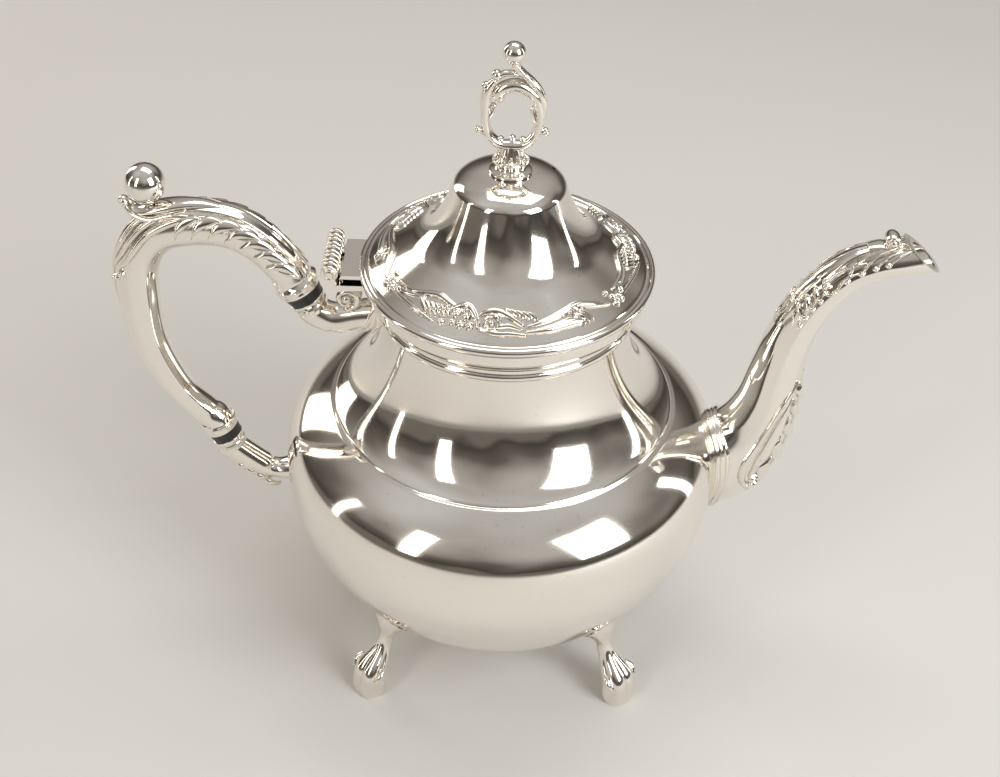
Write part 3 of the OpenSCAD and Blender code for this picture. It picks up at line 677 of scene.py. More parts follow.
def make_border():
    strokes, grooves = ([[(x + k * ROUND / REPEATS, *rest) for x, *rest in stroke]
                         for k in range(REPEATS) for stroke in unit] for unit in border_unit())
    along, across = np.meshgrid(np.linspace(0, ROUND, 1300, endpoint=False),
                                np.linspace(0, BORDER_OUT - BORDER_IN, 70), indexing="ij")
    height = softened(raised(along, across, strokes, grooves, ROUND), 2)
    edge = np.minimum(across, BORDER_OUT - BORDER_IN - across)
    height = np.where(edge < 0.3, -0.25, height)
    angle = along / BORDER_MID + BORDER_TURN
    slope = math.atan(BRIM_RISE / (LID_R - 3 - BELL_R))

    def surface(lift):
        r = BORDER_IN + across
        rr, z = r + lift * math.sin(slope), brim_height(r) + lift * math.cos(slope)
        return np.stack([rr * np.cos(angle), rr * np.sin(angle), z], -1)

    relief("lid_border_cast", surface, height, LID, ["lid_border"], True)


make_border()

# ---- finial -----------------------------------------------------------------------------
FINIAL_BASE_H = 4.5
RING_Z = BELL_TOP + FINIAL_BASE_H
KNOB_Z, KNOB_R = 242.95, 3.6


def make_finial():
    z = BELL_TOP
    foot = [(0, z - 0.2), (6.7, z - 0.2), (7.0, z + 0.2), (6.9, z + 0.6), (6.1, z + 1.0), (5.1, z + 1.5),
            (4.7, z + 2.1), (4.9, z + 2.8), (5.1, z + 3.5), (4.6, z + 4.2), (3.9, RING_Z), (0, RING_Z)]
    outline = np.concatenate([foot[:1], smooth(foot[1:-1], 5), foot[-1:]])
    lathe("finial_base_turned", outline, LID, ["finial_base"], CAST, 96)
    parts = []

    def add(stations, k=8, n=18):
        """A strand through x, z, radius across, radius along Y, and y where it is not 0."""
        parts.append(strand([(x, sum(y), z, a, b) for x, z, a, b, *y in stations], k, n))

    # stem, left side of the ring, right side that curls into the arch, sweep up to the knob
    add([(0, RING_Z - 0.05, 3.6, 3.6), (0, RING_Z + 2.2, 3.1, 3.0), (0, RING_Z + 4.6, 2.2, 2.3)])
    add([(0.4, 211.2, 2.0, 2.2), (-3.6, 211.9, 1.6, 2.2), (-6.9, 214.9, 1.5, 2.2), (-8.3, 219.2, 1.5, 2.1),
         (-8.4, 223.5, 1.6, 2.1), (-8.3, 227.8, 1.8, 2.1), (-7.4, 231.4, 1.6, 1.9), (-5.6, 233.9, 0.9, 1.2)])
    add([(-0.4, 211.2, 2.0, 2.2), (3.8, 211.9, 1.5, 2.2), (7.0, 215.0, 1.5, 2.2), (8.5, 219.4, 1.6, 2.2),
         (8.6, 223.8, 1.7, 2.2), (7.3, 228.2, 1.8, 2.2), (4.4, 231.0, 1.9, 2.3), (0.9, 232.4, 2.0, 2.4),
         (-2.7, 231.4, 2.1, 2.4), (-4.7, 229.4, 1.9, 2.2), (-4.2, 227.9, 1.5, 1.8)], 8, 20)
    add([(9.6, 222.5, 0.9, 1.2, -0.6), (9.5, 227.0, 1.2, 1.4, -0.6), (7.7, 231.5, 1.3, 1.5, -0.5),
         (4.4, 235.0, 1.3, 1.5, -0.3), (1.4, 237.6, 1.3, 1.6), (0.2, 240.2, 1.5, 1.7)])
    # two fine strands beside the sweep, a tendril at the top, curls outside and inside the ring
    for side in (-1.5, 1.5):
        add([(9.2, 225.2, 0.4, 0.5, side), (8.8, 228.8, 0.6, 0.6, side), (6.6, 233.0, 0.65, 0.6, side),
             (3.2, 236.4, 0.6, 0.55, side * 0.9), (1.0, 239.0, 0.5, 0.5, side * 0.7)], 8, 12)
    add([(2.2, 235.4, 0.7, 1.1), (-0.6, 236.3, 0.9, 1.3), (-3.0, 236.0, 1.0, 1.3), (-4.6, 235.2, 1.2, 1.4)])
    add([(6.9, 214.4, 0.8, 1.1), (9.2, 216.4, 0.9, 1.2), (10.6, 217.3, 0.7, 1.0), (10.9, 216.0, 0.7, 0.9)])
    add([(-7.2, 214.4, 0.8, 1.1), (-9.2, 216.2, 0.8, 1.1), (-10.4, 217.0, 0.7, 1.0)])
    add([(-7.0, 221.6, 0.7, 1.2), (-5.8, 223.7, 0.7, 1.2), (-5.6, 225.2, 0.6, 1.0), (-6.5, 225.6, 0.5, 0.9)])
    add([(7.4, 220.0, 0.7, 1.2), (6.3, 222.4, 0.7, 1.2), (6.0, 224.2, 0.6, 1.0), (6.8, 225.0, 0.5, 0.9)])
    for x, height in ((-3.4, 213.4), (0.3, 213.9), (3.5, 213.4)):
        parts.append(bead(x, 0, height, 1.15, 1.3))
    for x, height, r in ((-5.1, 235.5, 1.7), (-8.3, 231.6, 1.55), (-10.7, 216.6, 1.15), (10.9, 216.2, 0.95),
                         (-4.2, 228.4, 1.9), (4.7, 229.0, 0.8)):
        parts.append(bead(x, 0, height, r, 1.1))
    for t in circle(8):
        lean = [(4.9 * math.cos(t), 4.9 * math.sin(t), RING_Z - 1.9, 0.75, 0.75),
                (5.0 * math.cos(t), 5.0 * math.sin(t), RING_Z - 0.1, 0.95, 0.95),
                (4.1 * math.cos(t), 4.1 * math.sin(t), RING_Z + 1.5, 0.6, 0.6)]
        parts.append(strand(lean, 6, 12))
    cast("finial_ring_cast", parts, LID, ["finial_ring"])
    piece("finial_ball_turned", *bead(0, 0, KNOB_Z, KNOB_R, 1.0, 64), LID, ["finial_ball"], SHEET, 60)


make_finial()

# ---- spout ------------------------------------------------------------------------------
SPOUT = [(67, 78.2, 19, 14), (78.16, 81.5, 19.5, 14), (85, 88, 17.3, 12.8), (91.12, 97.7, 13.8, 11.2),
         (94.7, 109.8, 11.3, 9.8), (96.3, 124.7, 9.5, 8.7), (98.4, 137.7, 8.5, 7.9),
         (101.9, 148.9, 7.7, 7.3), (107.3, 159.1, 7.1, 6.9), (114.9, 167.5, 6.5, 6.6),
         (123.5, 171.7, 6, 6.5), (131.8, 173.5, 5.8, 6.6), (144.8, 175.9, 5.8, 6.8)]
spout = Limb(SPOUT, 14)
SINK = 0.7  # how far the ends of tubes go into the pot's body


def tube_between(limb, start, end, rows, lift, inner):
    """A sleeve round a limb from start to end, which may differ with the angle."""
    n = len(start)
    angle = circle(n)
    share = np.linspace(0, 1, rows)[:, None]
    u, v = start + (end - start) * share, np.broadcast_to(angle, (rows, n))
    outer, under = limb.at(u, v, lift(u, v, share)), limb.at(u, v, inner)
    return outer.reshape(-1, 3), under.reshape(-1, 3), sleeve_faces(rows, n)


def spout_ridges(u, v):
    """Two soft ridges run along each side, fading in away from the root and out before the mouth."""
    span = u / spout.length
    fade = np.clip((span - 0.14) / 0.12, 0, 1) * np.clip((0.93 - span) / 0.2, 0, 1)
    out = 0 * u
    for turn, size in ((1.50, 0.55), (2.15, 0.5)):
        for side in (1, -1):
            out = out + size * swell(apart(v, side * turn), 0.16) * fade
    return out


def make_spout():
    n = 128
    tip, slant = (139.0, 174.0), math.radians(50)
    normal = (math.cos(slant), math.sin(slant))

    def cut(points):
        """Slides points beyond the slanting mouth back along X on to its plane."""
        over = (points[:, 0] - tip[0]) * normal[0] + (points[:, 2] - tip[1]) * normal[1]
        points[:, 0] -= np.maximum(over, 0) / normal[0]
        return points

    start = spout.leaves_body(circle(n)) - SINK
    outer, inner, faces = tube_between(
        spout, start, np.full(n, spout.length), 180, lambda u, v, share: spout_ridges(u, v), -1.3)
    piece("spout_drawn", np.concatenate([cut(outer), cut(inner)]), faces, POT, ["spout_tube"],
          SHEET, 48)


make_spout()


def make_spout_collar():
    """A slim band that follows the bowl's side, with three fine upright ridges."""
    n = 220
    start = spout.leaves_body(circle(n), 0.8) - SINK
    end = spout.leaves_body(circle(n), 0.8, 5.8)

    def lift(u, v, share):
        ridges = sum(size * swell(share - at, 0.085) for at, size in ((0.24, 0.62), (0.52, 0.5), (0.8, 0.42)))
        return 0.42 + ridges - 0.75 * np.clip((share - 0.9) / 0.1, 0, 1)

    outer, inner, faces = tube_between(spout, start, end, 60, lift, -0.5)
    piece("spout_root_collar", np.concatenate([outer, inner]), faces, POT, ["spout_collar"],
          CAST, 50)


def make_upper_leaf():
    """A plate with drops at its foot, a C-scroll, and veins that sweep to the tip."""
    a0, a1 = 0.585 * spout.length, 0.905 * spout.length
    strokes = [[(a0 + 3, 0, 6.0, 0.45), (a0 + 18, 0, 7.4, 0.5), (a1 - 12, 0, 6.2, 0.5), (a1, 0, 3.4, 0.45)],
               [(a0 + 22, 0, 5.4, 0.9), (a0 + 34, 0, 4.6, 0.9), (a1, 0, 2.8, 0.8)],
               curl(a0 + 19.2, 7.9, 2.1, 0.8, 70, 340, 0.85, 0.6, 1.5, 14),
               [(a0 + 19.6, 5.9, 0.75, 1.3), (a0 + 26, 5.3, 0.75, 1.3), (a0 + 32, 6.0, 0.4, 0.9)],
               [(a0 + 20.4, 9.9, 0.65, 1.2), (a0 + 25, 8.4, 0.65, 1.2), (a0 + 30, 8.6, 0.35, 0.8)]]
    for x, y, y1 in ((0.2, 1.4, 1.0), (0.4, 4.4, 3.4), (1.4, 7.6, 5.8)):
        strokes.append(blade(a0 + 9.5, y1, a0 + x, y, 0.0, 1.7, 1.15))
    for k in range(4):
        x = a0 + 3.6 + 3.7 * k
        strokes.append(blade(x + 5.4, 4.4, x, 8.7, -0.14, 1.05, 1.35))
        strokes.append([(x - 0.4, 9.2, 1.0, 1.5)])
    for k, x in enumerate((a0 + 25.5, a0 + 30.5, a0 + 35.0, a0 + 39.0)):
        strokes.append([(x, 8.9 - 0.3 * k, 0.6, 1.2), (x + 3.2, 6.0, 0.6, 1.25), (x + 7.5, 3.9, 0.5, 1.2),
                        (a1 - 1, 1.6 + 0.5 * k, 0.35, 0.95)])
        strokes.append([(x - 0.5, 9.4 - 0.3 * k, 1.15, 1.6)])
    grooves = [[(a0 + 2, 0, 0.26, 0.3), (a1 - 3, 0, 0.2, 0.3)]]
    for k in range(3):
        grooves.append([(a0 + 24 + 3 * k, 4.4, 0.2, 0.35), (a0 + 32 + 2.5 * k, 2.6, 0.22, 0.4),
                        (a1 - 2, 1.1, 0.15, 0.3)])
    limb_relief("spout_upper_leaf_cast", spout, (a0 - 1.5, a1 + 1), (-104, 104), (330, 220), strokes, grooves,
                ["spout_leaf_upper"], 7.0)


def make_lower_leaf():
    """A double moulding along its edge, a scroll at its foot and plump drops under it."""
    b0, b1 = 0.115 * spout.length, 0.44 * spout.length
    strokes = [[(b0 + 2, 28.3, 5.0, 1.2), (b0 + 20, 28.3, 4.2, 1.3), (b1 - 8, 28.3, 2.6, 1.2),
                (b1, 28.3, 1.0, 0.8)],
               [(b0 + 1, 20.5, 0.7, 1.1), (b0 + 3, 17.2, 0.95, 1.4), (b0 + 10, 15.2, 1.0, 1.5),
                (b0 + 20, 14.8, 0.95, 1.4), (b0 + 30, 16.0, 0.8, 1.2), (b1 - 7, 18.4, 0.6, 1.0),
                (b1 - 1, 22.0, 0.4, 0.8)],
               [(b0 + 5, 18.6, 0.5, 1.0), (b0 + 12, 17.2, 0.65, 1.2), (b0 + 21, 16.9, 0.65, 1.1),
                (b0 + 30, 18.0, 0.55, 1.0), (b1 - 8, 20.2, 0.4, 0.8)],
               curl(b0 + 4.2, 20.8, 2.6, 0.9, 200, -140, 0.9, 0.65, 1.6, 14)]
    for x, y, x1, y1, w in ((5, 24.8, 14, 20.4, 2.7), (13.5, 24.6, 22, 20.2, 2.5),
                            (22, 24.6, 29.5, 20.8, 2.1), (29.5, 25.0, 36, 21.8, 1.8),
                            (36, 25.6, 42, 23.6, 1.4)):
        strokes.append(blade(b0 + x, y, b0 + x1, y1, -0.14, w, 1.9))
    limb_relief("spout_lower_leaf_cast", spout, (b0 - 1.5, b1 + 1), (70, 290), (280, 240), strokes, [],
                ["spout_leaf_lower"], 9.0)


def make_lip_scroll():
    """A curl on the lip, with knobs on both sides of its eye."""
    x, z = 126.2, 180.6
    turns = spiral(x, 0, z, (2.4, 0.8), (-100, 370), (1.15, 0.80), (3.3, 3.0), 14)
    parts = [strand([(119.0, 0, 177.6, 0.7, 2.2), (122.6, 0, 178.4, 0.95, 2.9)] + turns, 5, 18)]
    for side in (-1, 1):
        parts += [bead(x, side * 3.1, z, 1.35, 0.6), bead(x + 3.6, side * 2.1, z - 2.1, 1.0)]
    cast("spout_scroll_cast", parts, POT, ["spout_scroll"])


make_spout_collar()
make_upper_leaf()
make_lower_leaf()
make_lip_scroll()

# ---- handle -----------------------------------------------------------------------------
TOP_DIR, LOW_DIR = math.radians(117), math.radians(112)
TOP_FACE, LOW_FACE = (-71.3, 155.25), (-104.38, 91.24)
INSULATOR_H = 8.0


def from_face(face, direction, d):
    return (face[0] + d * math.cos(direction), face[1] + d * math.sin(direction))


def station(point, r):
    return (point[0], point[1], r, r)


GRIP = [station(TOP_FACE, 7.8), station(from_face(TOP_FACE, TOP_DIR, 3), 7.2),
        station(from_face(TOP_FACE, TOP_DIR, 7), 6.6), (-82.76, 171.53, 6.7, 6.7),
        (-92.16, 177.45, 7.2, 7.2), (-103.91, 178.56, 7.5, 7.5), (-116.6, 174.86, 7.4, 7.4),
        (-124.36, 163.39, 7.3, 7.3), (-126, 146, 7.0, 7.0), (-124.36, 127.13, 6.3, 6.3),
        (-117.31, 108.63, 5.3, 5.3),
        station(from_face(LOW_FACE, LOW_DIR + math.radians(14), 8), 5.5),
        station(from_face(LOW_FACE, LOW_DIR, 3.6), 5.8),
        station(from_face(LOW_FACE, LOW_DIR, 1.5), 6.3), station(LOW_FACE, 6.5)]
grip = Limb(GRIP, 16)


def grip_shape(u, v):
    """Rims at both ends, and long soft ridges down the back of the grip."""
    far = grip.length - u
    out = 0.5 * swell(u - 1.3, 0.7) - 0.25 * swell(u - 3.1, 0.6) + 0.3 * swell(far - 1.0, 0.6)
    fade = np.clip((u - 62) / 25, 0, 1) * np.clip((far - 6) / 10, 0, 1)
    for turn, size in ((0.95, 0.4), (1.75, 0.4)):
        for side in (1, -1):
            out = out + size * swell(apart(v, side * turn), 0.2) * fade
    crest = np.clip((u - 6) / 10, 0, 1) * np.clip((64 - u) / 12, 0, 1)
    return out + 0.55 * swell(apart(v, math.pi), 0.13) * crest


def make_grip():
    cuts = np.unique(np.concatenate([np.linspace(0, 5, 26), np.linspace(5, grip.length - 4, 260),
                                     np.linspace(grip.length - 4, grip.length, 20)]))
    n = 96
    outer, rows = grip.mesh(n, grip_shape, cuts)
    inner = grip.mesh(n, -1.2, cuts)[0]
    piece("handle_grip_cast", np.concatenate([outer.reshape(-1, 3), inner.reshape(-1, 3)]),
          sleeve_faces(rows, n), POT, ["handle_grip"], SHEET, 50)
    # leaf lobes on both flanks of the upper arm
    strokes, grooves = [], []
    for k in range(7):
        x, y = 5.6 + 5.7 * k, 12.0 + 0.10 * k
        size = 2.7 - 0.09 * k
        strokes.append(blade(x, y + 3.4, x + 8.6, y - 2.6, 0.16, size, 1.85 - 0.06 * k))
        grooves.append([(x + 0.6, y + 2.9, 0.2, 0.4), (x + 4.4, y + 0.5, 0.28, 0.7),
                        (x + 7.8, y - 2.0, 0.2, 0.4)])
    strokes.append([(4.5, 17.8, 0.5, 0.5), (20, 18.2, 0.65, 0.75), (34, 18.6, 0.65, 0.75),
                    (47, 19.0, 0.4, 0.5)])
    limb_relief("handle_leaves_cast", grip, (4.6, 50), (-152, 152), (330, 300), strokes, grooves, [], 7.0)


make_grip()


def make_back_leaf():
    """Nested bands that hug the handle's back corner and end in a point with beads; mirrored."""
    strokes = [[(36, 16.8, 0.5, 0.7), (45, 15.8, 1.0, 1.2), (54, 14.2, 1.25, 1.6), (62, 13.2, 1.3, 1.7),
                (68, 13.8, 1.05, 1.5), (73, 16.4, 0.5, 0.9)],
               [(44, 18.8, 0.5, 0.7), (52, 17.4, 1.0, 1.2), (60, 16.2, 1.1, 1.4), (67, 16.3, 0.9, 1.3),
                (72, 18.4, 0.4, 0.8)],
               [(51, 20.6, 0.5, 0.7), (58, 19.3, 0.85, 1.1), (65, 18.6, 0.9, 1.2), (72, 20.0, 0.4, 0.8)],
               [(54, 22, 0.8, 0.5), (63, 22, 2.0, 1.0), (73, 22, 2.2, 1.2), (82, 22, 1.2, 0.9),
                (91, 22, 0.35, 0.4)],
               [(73.4, 14.6, 1.1, 1.5)], [(75.6, 16.8, 1.15, 1.5)], [(77.0, 19.2, 1.0, 1.4)]]
    grooves = [[(48, 16.6, 0.25, 0.5), (57, 15.2, 0.3, 0.6), (66, 15.0, 0.25, 0.5)]]
    limb_relief("handle_back_leaf_cast", grip, (34, 94), (78, 282), (330, 260), strokes, grooves,
                ["handle_leaf"], 7.0)


BALL_X, BALL_Z, BALL_R = -118.0, 193.4, 6.7


def make_thumb_scroll():
    """The S-shaped band that carries the ball, from a small knob into a ridge on the arm."""
    parts = [strand([(-125.8, 0, 185.6, 1.3, 1.5), (-124.2, 0, 183.3, 1.5, 2.2), (-121.0, 0, 182.9, 1.7, 3.2),
                     (-115.0, 0, 184.5, 2.0, 4.0), (-108.0, 0, 186.0, 1.7, 3.6), (-100.0, 0, 186.4, 1.1, 2.4),
                     (-93.0, 0, 184.9, 0.6, 1.2)], 8, 24)]
    for side in (-1, 1):
        parts.append(strand([(-125.2, side * 1.8, 185.8, 0.7, 0.7), (-122.8, side * 3.0, 183.2, 0.9, 0.9),
                             (-117.6, side * 4.6, 182.2, 1.0, 1.0), (-110.6, side * 5.2, 184.0, 0.9, 0.9),
                             (-103.6, side * 5.4, 184.0, 0.8, 0.8),
                             (-95.6, side * 5.6, 182.0, 0.5, 0.5)], 8, 14))
    parts.append(bead(-125.9, 0, 186.5, 1.85, 1.15))
    cast("thumb_scroll_cast", parts, POT, ["thumb_scroll"], 55)
    outline = [(0, 186.4), (2.9, 186.6), (2.5, 187.6), (2.7, 188.0)]
    outline += [(BALL_R * math.sin(a), BALL_Z - BALL_R * math.cos(a)) for a in np.linspace(0.48, math.pi, 40)]
    piece("thumb_ball_turned", turned(outline, 72, (BALL_X, 0)), quads(len(outline), 72, False, True), POT,
          ["thumb_ball"], SHEET, 50)


make_back_leaf()
make_thumb_scroll()


def ring_piece(name, face, direction, r_grip, r_socket, node):
    """An insulating ring, a short turned cone on its face, held by a silver lip at each end."""
    h = INSULATOR_H
    o = rounded([(0, -h), (r_socket, -h), ((r_socket + r_grip) / 2 + 0.1, -h / 2), (r_grip, 0), (0, 0)],
                [0, 0.5, 2, 0.5, 0], 6)
    piece(name, turned(o, 96, face, direction), quads(len(o), 96, False, True), POT, [node], RING, 40)
    slope = (r_grip - r_socket) / h
    lips = []
    for start, end in ((0.3, -1.9), (-h - 0.3, -h + 1.9)):
        a, b = r_grip + slope * start, r_grip + slope * end
        side = 1 if end > start else -1
        lip = rounded([(a - 0.2, start), (b - 0.05, end), (b + 0.4, end), (b + 0.45, end - side * 0.7),
                       (a + 0.35, start)][::side], [0.05, 0.05, 0.18, 0.3, 0.15][::side], 4)
        lips.append((turned(lip, 96, face, direction), quads(len(lip), 96, True, True)))
    piece(name + "_lips", *joined(lips), POT, [], SHEET, 40)


ring_piece("insulating_ring_upper", TOP_FACE, TOP_DIR, 7.4, 5.5, "insulator_upper")
ring_piece("insulating_ring_lower", LOW_FACE, LOW_DIR, 6.2, 5.2, "insulator_lower")


def rooted_end(limb, n, rows, lift):
    """Points and faces of a limb that starts square and ends on the pot's body."""
    angle = circle(n)
    end = limb.leaves_body(angle, start=False) + SINK
    share = np.linspace(0, 1, rows)[:, None]
    u, v = end * share, np.broadcast_to(angle, (rows, n))
    return limb.at(u, v, lift(u, v)).reshape(-1, 3), solid_faces(rows, n)


def socket_limb(face, direction, r, stations):
    """A limb that leaves its ring straight, with radius r, and goes on through the stations."""
    straight = [station(from_face(face, direction, -INSULATOR_H - d), r) for d in (0, 2.2, 4.4)]
    return Limb(straight + stations, 12)


def make_upper_socket():
    """From the upper ring to the shoulder, with an eye-shaped scroll and leaf lobes on each side."""
    limb = socket_limb(TOP_FACE, TOP_DIR, 5.6,
                       [(-59.0, 141.5, 5.4, 5.6), (-50, 143.5, 5.0, 5.6), (-36, 146, 5.6, 6.6)])

    def rib(u, v):
        """A rib along each side, and a rim at the ring."""
        sides = swell(apart(v, 1.9), 0.2) + swell(apart(v, -1.9), 0.2)
        return 0.5 * sides * np.clip(u / 6, 0, 1) + 0.45 * swell(u - 0.9, 0.6)

    parts = [rooted_end(limb, 72, 110, rib)]
    x, z = -54.6, 151.2
    for side in (-1, 1):
        eye = spiral(x, side * 2.4, z, (4.4, 1.4), (-70, 330), (1.25, 0.85), (1.3, 1.3), 13)
        foot = [(-44.2, side * 2.8, 142.6, 1.3, 1.5), (-48.0, side * 2.6, 145.2, 1.3, 1.5)]
        parts += [strand(foot + eye, 5, 14), bead(x, side * 2.6, z, 1.7, 0.9)]
        for k in range(3):
            parts.append(strand([(-50.5 + 2.4 * k, side * 4.2, 139.8 - 0.4 * k, 0.6, 0.8),
                                 (-47.6 + 2.0 * k, side * 5.4, 143.0, 1.1, 1.1),
                                 (-45.6 + 0.9 * k, side * 5.0, 147.6 + 0.9 * k, 0.9, 0.9),
                                 (-45.0 + 0.4 * k, side * 4.0, 150.2 + k, 0.35, 0.4)], 6, 12))
    cast("upper_socket_cast", parts, POT, ["handle_socket_upper"])


def make_lower_socket():
    """From the lower ring to the bowl, with small leaves down its sides."""
    limb = socket_limb(LOW_FACE, LOW_DIR, 5.3,
                       [(-90.28, 71.5, 5.0, 5.0), (-84, 69.5, 3.6, 4.4), (-74, 71, 5.9, 7.3)])

    def leafy(u, v):
        """Scallops along the underside, and a rim at the ring."""
        scallop = 0.75 * np.abs(np.sin(u * 0.62)) * np.clip(-np.cos(v), 0, 1) ** 0.7
        return scallop * np.clip(u / 3, 0, 1) * np.clip((16.5 - u) / 4, 0, 1) + 0.4 * swell(u - 0.8, 0.5)

    parts = [rooted_end(limb, 72, 110, leafy)]
    for side in (-1, 1):
        for k in range(4):
            x, z = -97.6 + 3.3 * k, 76.2 - 2.6 * k
            parts.append(strand([(x - 1.5, side * 3.8, z - 1.0, 0.5, 0.6),
                                 (x + 0.3, side * 4.4, z - 2.6, 1.1, 1.0),
                                 (x + 2.6, side * 3.4, z - 4.4, 0.9, 0.9),
                                 (x + 4.0, side * 1.8, z - 5.0, 0.4, 0.5)], 6, 12))
    cast("lower_socket_cast", parts, POT, ["handle_socket_lower"])


make_upper_socket()
make_lower_socket()


# ---- feet -------------------------------------------------------------------------------
def make_foot(name, node, turn):
    """A leaf plate on the bowl, a slim leg, and a fluted shell pad."""
    top = float(body_radius(34.0))
    leg = Limb([(top + 1.2, 33, 2.6, 10.5), (top + 1.9, 29, 2.8, 6.5), (top + 2.6, 23, 2.8, 3.2),
                (top + 5.2, 17, 3.3, 3.5), (66.3, 10, 4.9, 6.3), (67.5, 5, 5.4, 7.0),
                (67.75, 0.8, 5.3, 6.4), (67.75, 0.0, 4.9, 5.9)], 14)

    def shell(u, v):
        """Five broad flutes with crisp creases between them, on a smooth shank."""
        pad = np.clip((u - 12) / 10, 0, 1) * np.clip((leg.length - u) / 1.4, 0, 1)
        return (1.15 * np.abs(np.cos((v - math.pi) * 2.5)) ** 0.7 - 0.7) * pad

    outer, count = leg.mesh(108, shell)
    outer[..., 2] = np.maximum(outer[..., 2], 0.0)
    parts = [(outer.reshape(-1, 3), solid_faces(count, 108))]

    def hug(y, z, out, *radii):
        """A station on the bowl's surface at side y and height z, standing out by out."""
        r = float(body_radius(z)) + out
        return (math.sqrt(max(r * r - y * y, 1)), y, z, *radii)

    def leaf(side, *stations):
        """A strand that hugs the bowl; side -1 mirrors it."""
        parts.append(strand([hug(side * y, *rest) for y, *rest in stations], 8, 16))

    for side in (-1, 1):
        leaf(side, (0.8, 26.0, 0.9, 1.4, 1.3), (5.2, 29.6, 0.7, 1.5, 1.3), (9.8, 32.6, 0.6, 1.4, 1.2),
             (13.6, 35.6, 0.5, 0.7, 0.6))
        leaf(side, (0.8, 30.6, 0.8, 1.3, 1.2), (4.6, 34.2, 0.6, 1.5, 1.3), (8.2, 37.2, 0.5, 1.2, 1.1),
             (11.4, 40.0, 0.4, 0.5, 0.5))
        parts.append(bead(*hug(side * 13.4, 35.6, 0.7), 1.15))
        parts.append(strand([(65.2, side * 5.6, 13.2, 0.7, 0.9), (67.6, side * 6.6, 11.4, 1.1, 1.2),
                             (69.4, side * 6.2, 9.0, 0.8, 0.9)], 6, 12))
        leaf(side, (0, 27.0, 1.7, 0.9, 1.8), (5.0, 29.8, 1.9, 0.8, 1.7), (10.0, 33.2, 1.7, 0.65, 1.4),
             (16.0, 38.0, 1.1, 0.35, 0.6))
    leaf(1, (0, 33.5, 0.9, 1.6, 2.0), (0, 38.6, 0.6, 1.5, 2.4), (0, 43.0, 0.4, 0.5, 0.6))
    points, faces = joined(parts)
    c, s = math.cos(turn), math.sin(turn)
    points = np.stack([points[:, 0] * c - points[:, 1] * s, points[:, 0] * s + points[:, 1] * c,
                       points[:, 2]], 1)
    piece(name, points, faces, POT, [node], CAST, 50)


for quarter, place in ((225, "front_left"), (-45, "front_right"), (135, "back_left"), (45, "back_right")):
    make_foot("foot_cast_" + place, "foot_" + place, math.radians(quarter))

# ---- hinge ------------------------------------------------------------------------------
HINGE_X, HINGE_Z, KNUCKLE_START, KNUCKLE_STEP = -58.5, 167.75, -12, 4.84


def make_hinge_rings():
    """Turned ridges round the knuckles, two to each, and a ring on each end of the barrel."""

    def hoop(y, r, thick, half):
        turn = circle(64)[:, None]
        section = circle(12)
        rr = r + thick * np.cos(section)
        points = np.stack([HINGE_X + rr * np.cos(turn), y + half * np.sin(section) + 0 * turn,
                           HINGE_Z + rr * np.sin(turn)], -1).reshape(-1, 3)
        return points, quads(64, 12, True, True)

    for body, name, knuckles in ((POT, "hinge_rings_pot", (0, 2, 4)), (LID, "hinge_rings_lid", (1, 3))):
        parts = [hoop(KNUCKLE_START + KNUCKLE_STEP * i + y, 2.5, 0.48, 0.8)
                 for i in knuckles for y in (0.95, 3.69)]
        if body == POT:
            parts += [hoop(side * KNUCKLE_START, 1.8, 0.5, 0.45) for side in (-1, 1)]
        cast(name, parts, body, [])


make_hinge_rings()

# ---- CAD nodes that stay ----------------------------------------------------------------
EASED = 0.22
for node_name in ("hinge_leaf_pot", "hinge_leaf_lid", "hinge_pin", "lid_bezel", "insulator_pins",
                  "finial_screw", "finial_nut"):
    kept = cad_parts[node_name]
    kept.data.materials.clear()
    kept.data.materials.append(SHEET[0])
    if node_name.startswith("hinge_leaf"):
        edge = kept.modifiers.new("eased", "BEVEL")
        edge.width, edge.segments, edge.limit_method = EASED * MM, 2, "ANGLE"
        edge.angle_limit = math.radians(40)


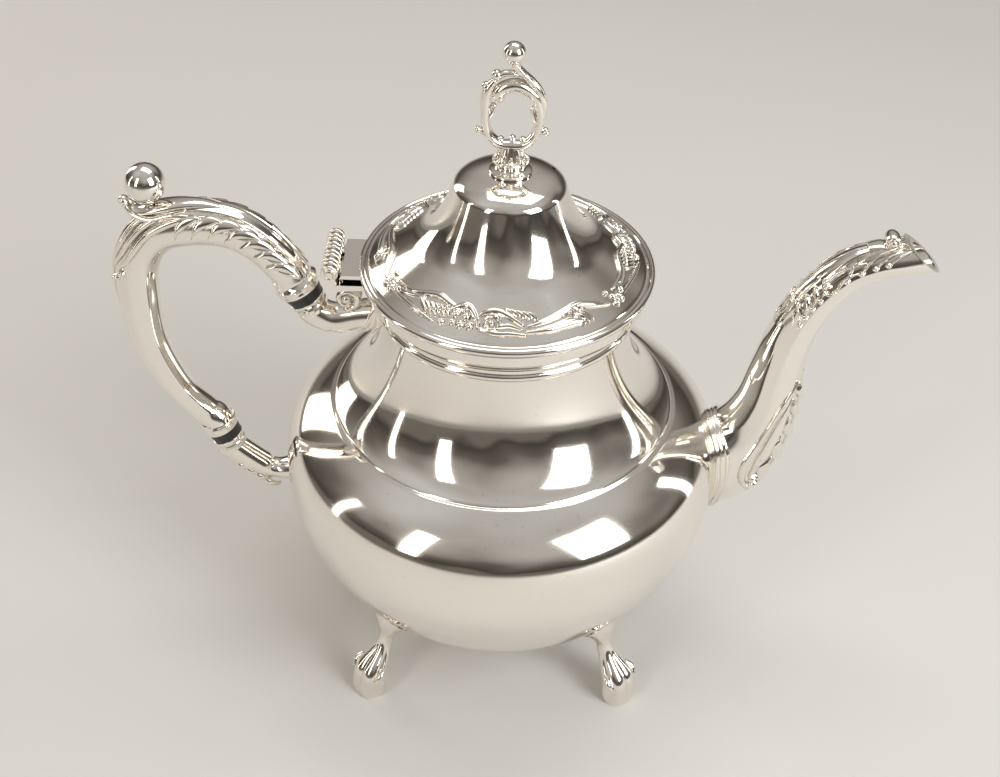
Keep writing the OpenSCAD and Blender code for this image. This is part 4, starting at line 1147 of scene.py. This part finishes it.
# ---- floor and light --------------------------------------------------------------------
def make_studio():
    half = 3.0
    corners = [(-half, -half, 0), (half, -half, 0), (half, half, 0), (-half, half, 0)]
    mesh = bpy.data.meshes.new("floor")
    mesh.from_pydata(corners, [], [(0, 1, 2, 3)])
    floor = bpy.data.objects.new("floor", mesh)
    bpy.context.collection.objects.link(floor)
    s = Shader("pale_floor")
    cloud = s.noise(3, 2, 0.4)
    colour = s.mix(cloud, (0.66, 0.655, 0.64, 1), (0.70, 0.695, 0.68, 1))
    mesh.materials.append(s.finish(Base_Color=colour, Roughness=0.75))

    middle = Vector((0, 0, 0.11))
    for name, place, width, height, power, colour in (
            ("window", (0.80, -0.66, 0.74), 0.52, 0.85, 9.5, (1.0, 0.985, 0.96)),
            ("window_left", (-0.75, -0.85, 0.70), 0.20, 0.9, 2.8, (1.0, 0.93, 0.84)),
            ("strip_right", (1.25, 0.25, 0.45), 0.10, 0.9, 1.6, (1.0, 0.96, 0.92)),
            ("strip_left", (-1.25, -0.2, 0.45), 0.08, 0.9, 1.2, (1.0, 0.92, 0.82)),
            ("top", (0.1, 0.35, 1.25), 0.9, 0.5, 4.0, (1.0, 0.96, 0.9)),
            ("rim", (-0.9, 0.75, 0.5), 0.3, 0.8, 2.5, (1.0, 0.9, 0.78))):
        light = bpy.data.lights.new(name, "AREA")
        light.shape, light.size, light.size_y = "RECTANGLE", width, height
        light.energy, light.color = power, colour
        lamp = bpy.data.objects.new(name, light)
        lamp.location = place
        lamp.rotation_euler = (middle - Vector(place)).to_track_quat("-Z", "Y").to_euler()
        bpy.context.collection.objects.link(lamp)

    world = bpy.data.worlds.new("studio")
    bpy.context.scene.world = world
    world.use_nodes = True
    room = Nodes(world.node_tree, "Generated")
    height = Value(room, room.add("ShaderNodeSeparateXYZ", None, (room.place,)).outputs["Z"])
    level = room.noise(1.6, 1.5, 0.5) * 0.85 + height - 0.42
    background = room.nodes["Background"]
    room.feed(background.inputs["Color"], room.ramp(level, [
        (0.0, (0.26, 0.23, 0.20)), (0.10, (0.09, 0.08, 0.07)), (0.34, (0.21, 0.185, 0.16)),
        (0.60, (0.60, 0.56, 0.52)), (1.0, (0.95, 0.93, 0.90))]))
    room.feed(background.inputs["Strength"], 0.6)


make_studio()
bpy.context.scene.view_settings.view_transform = "Standard"
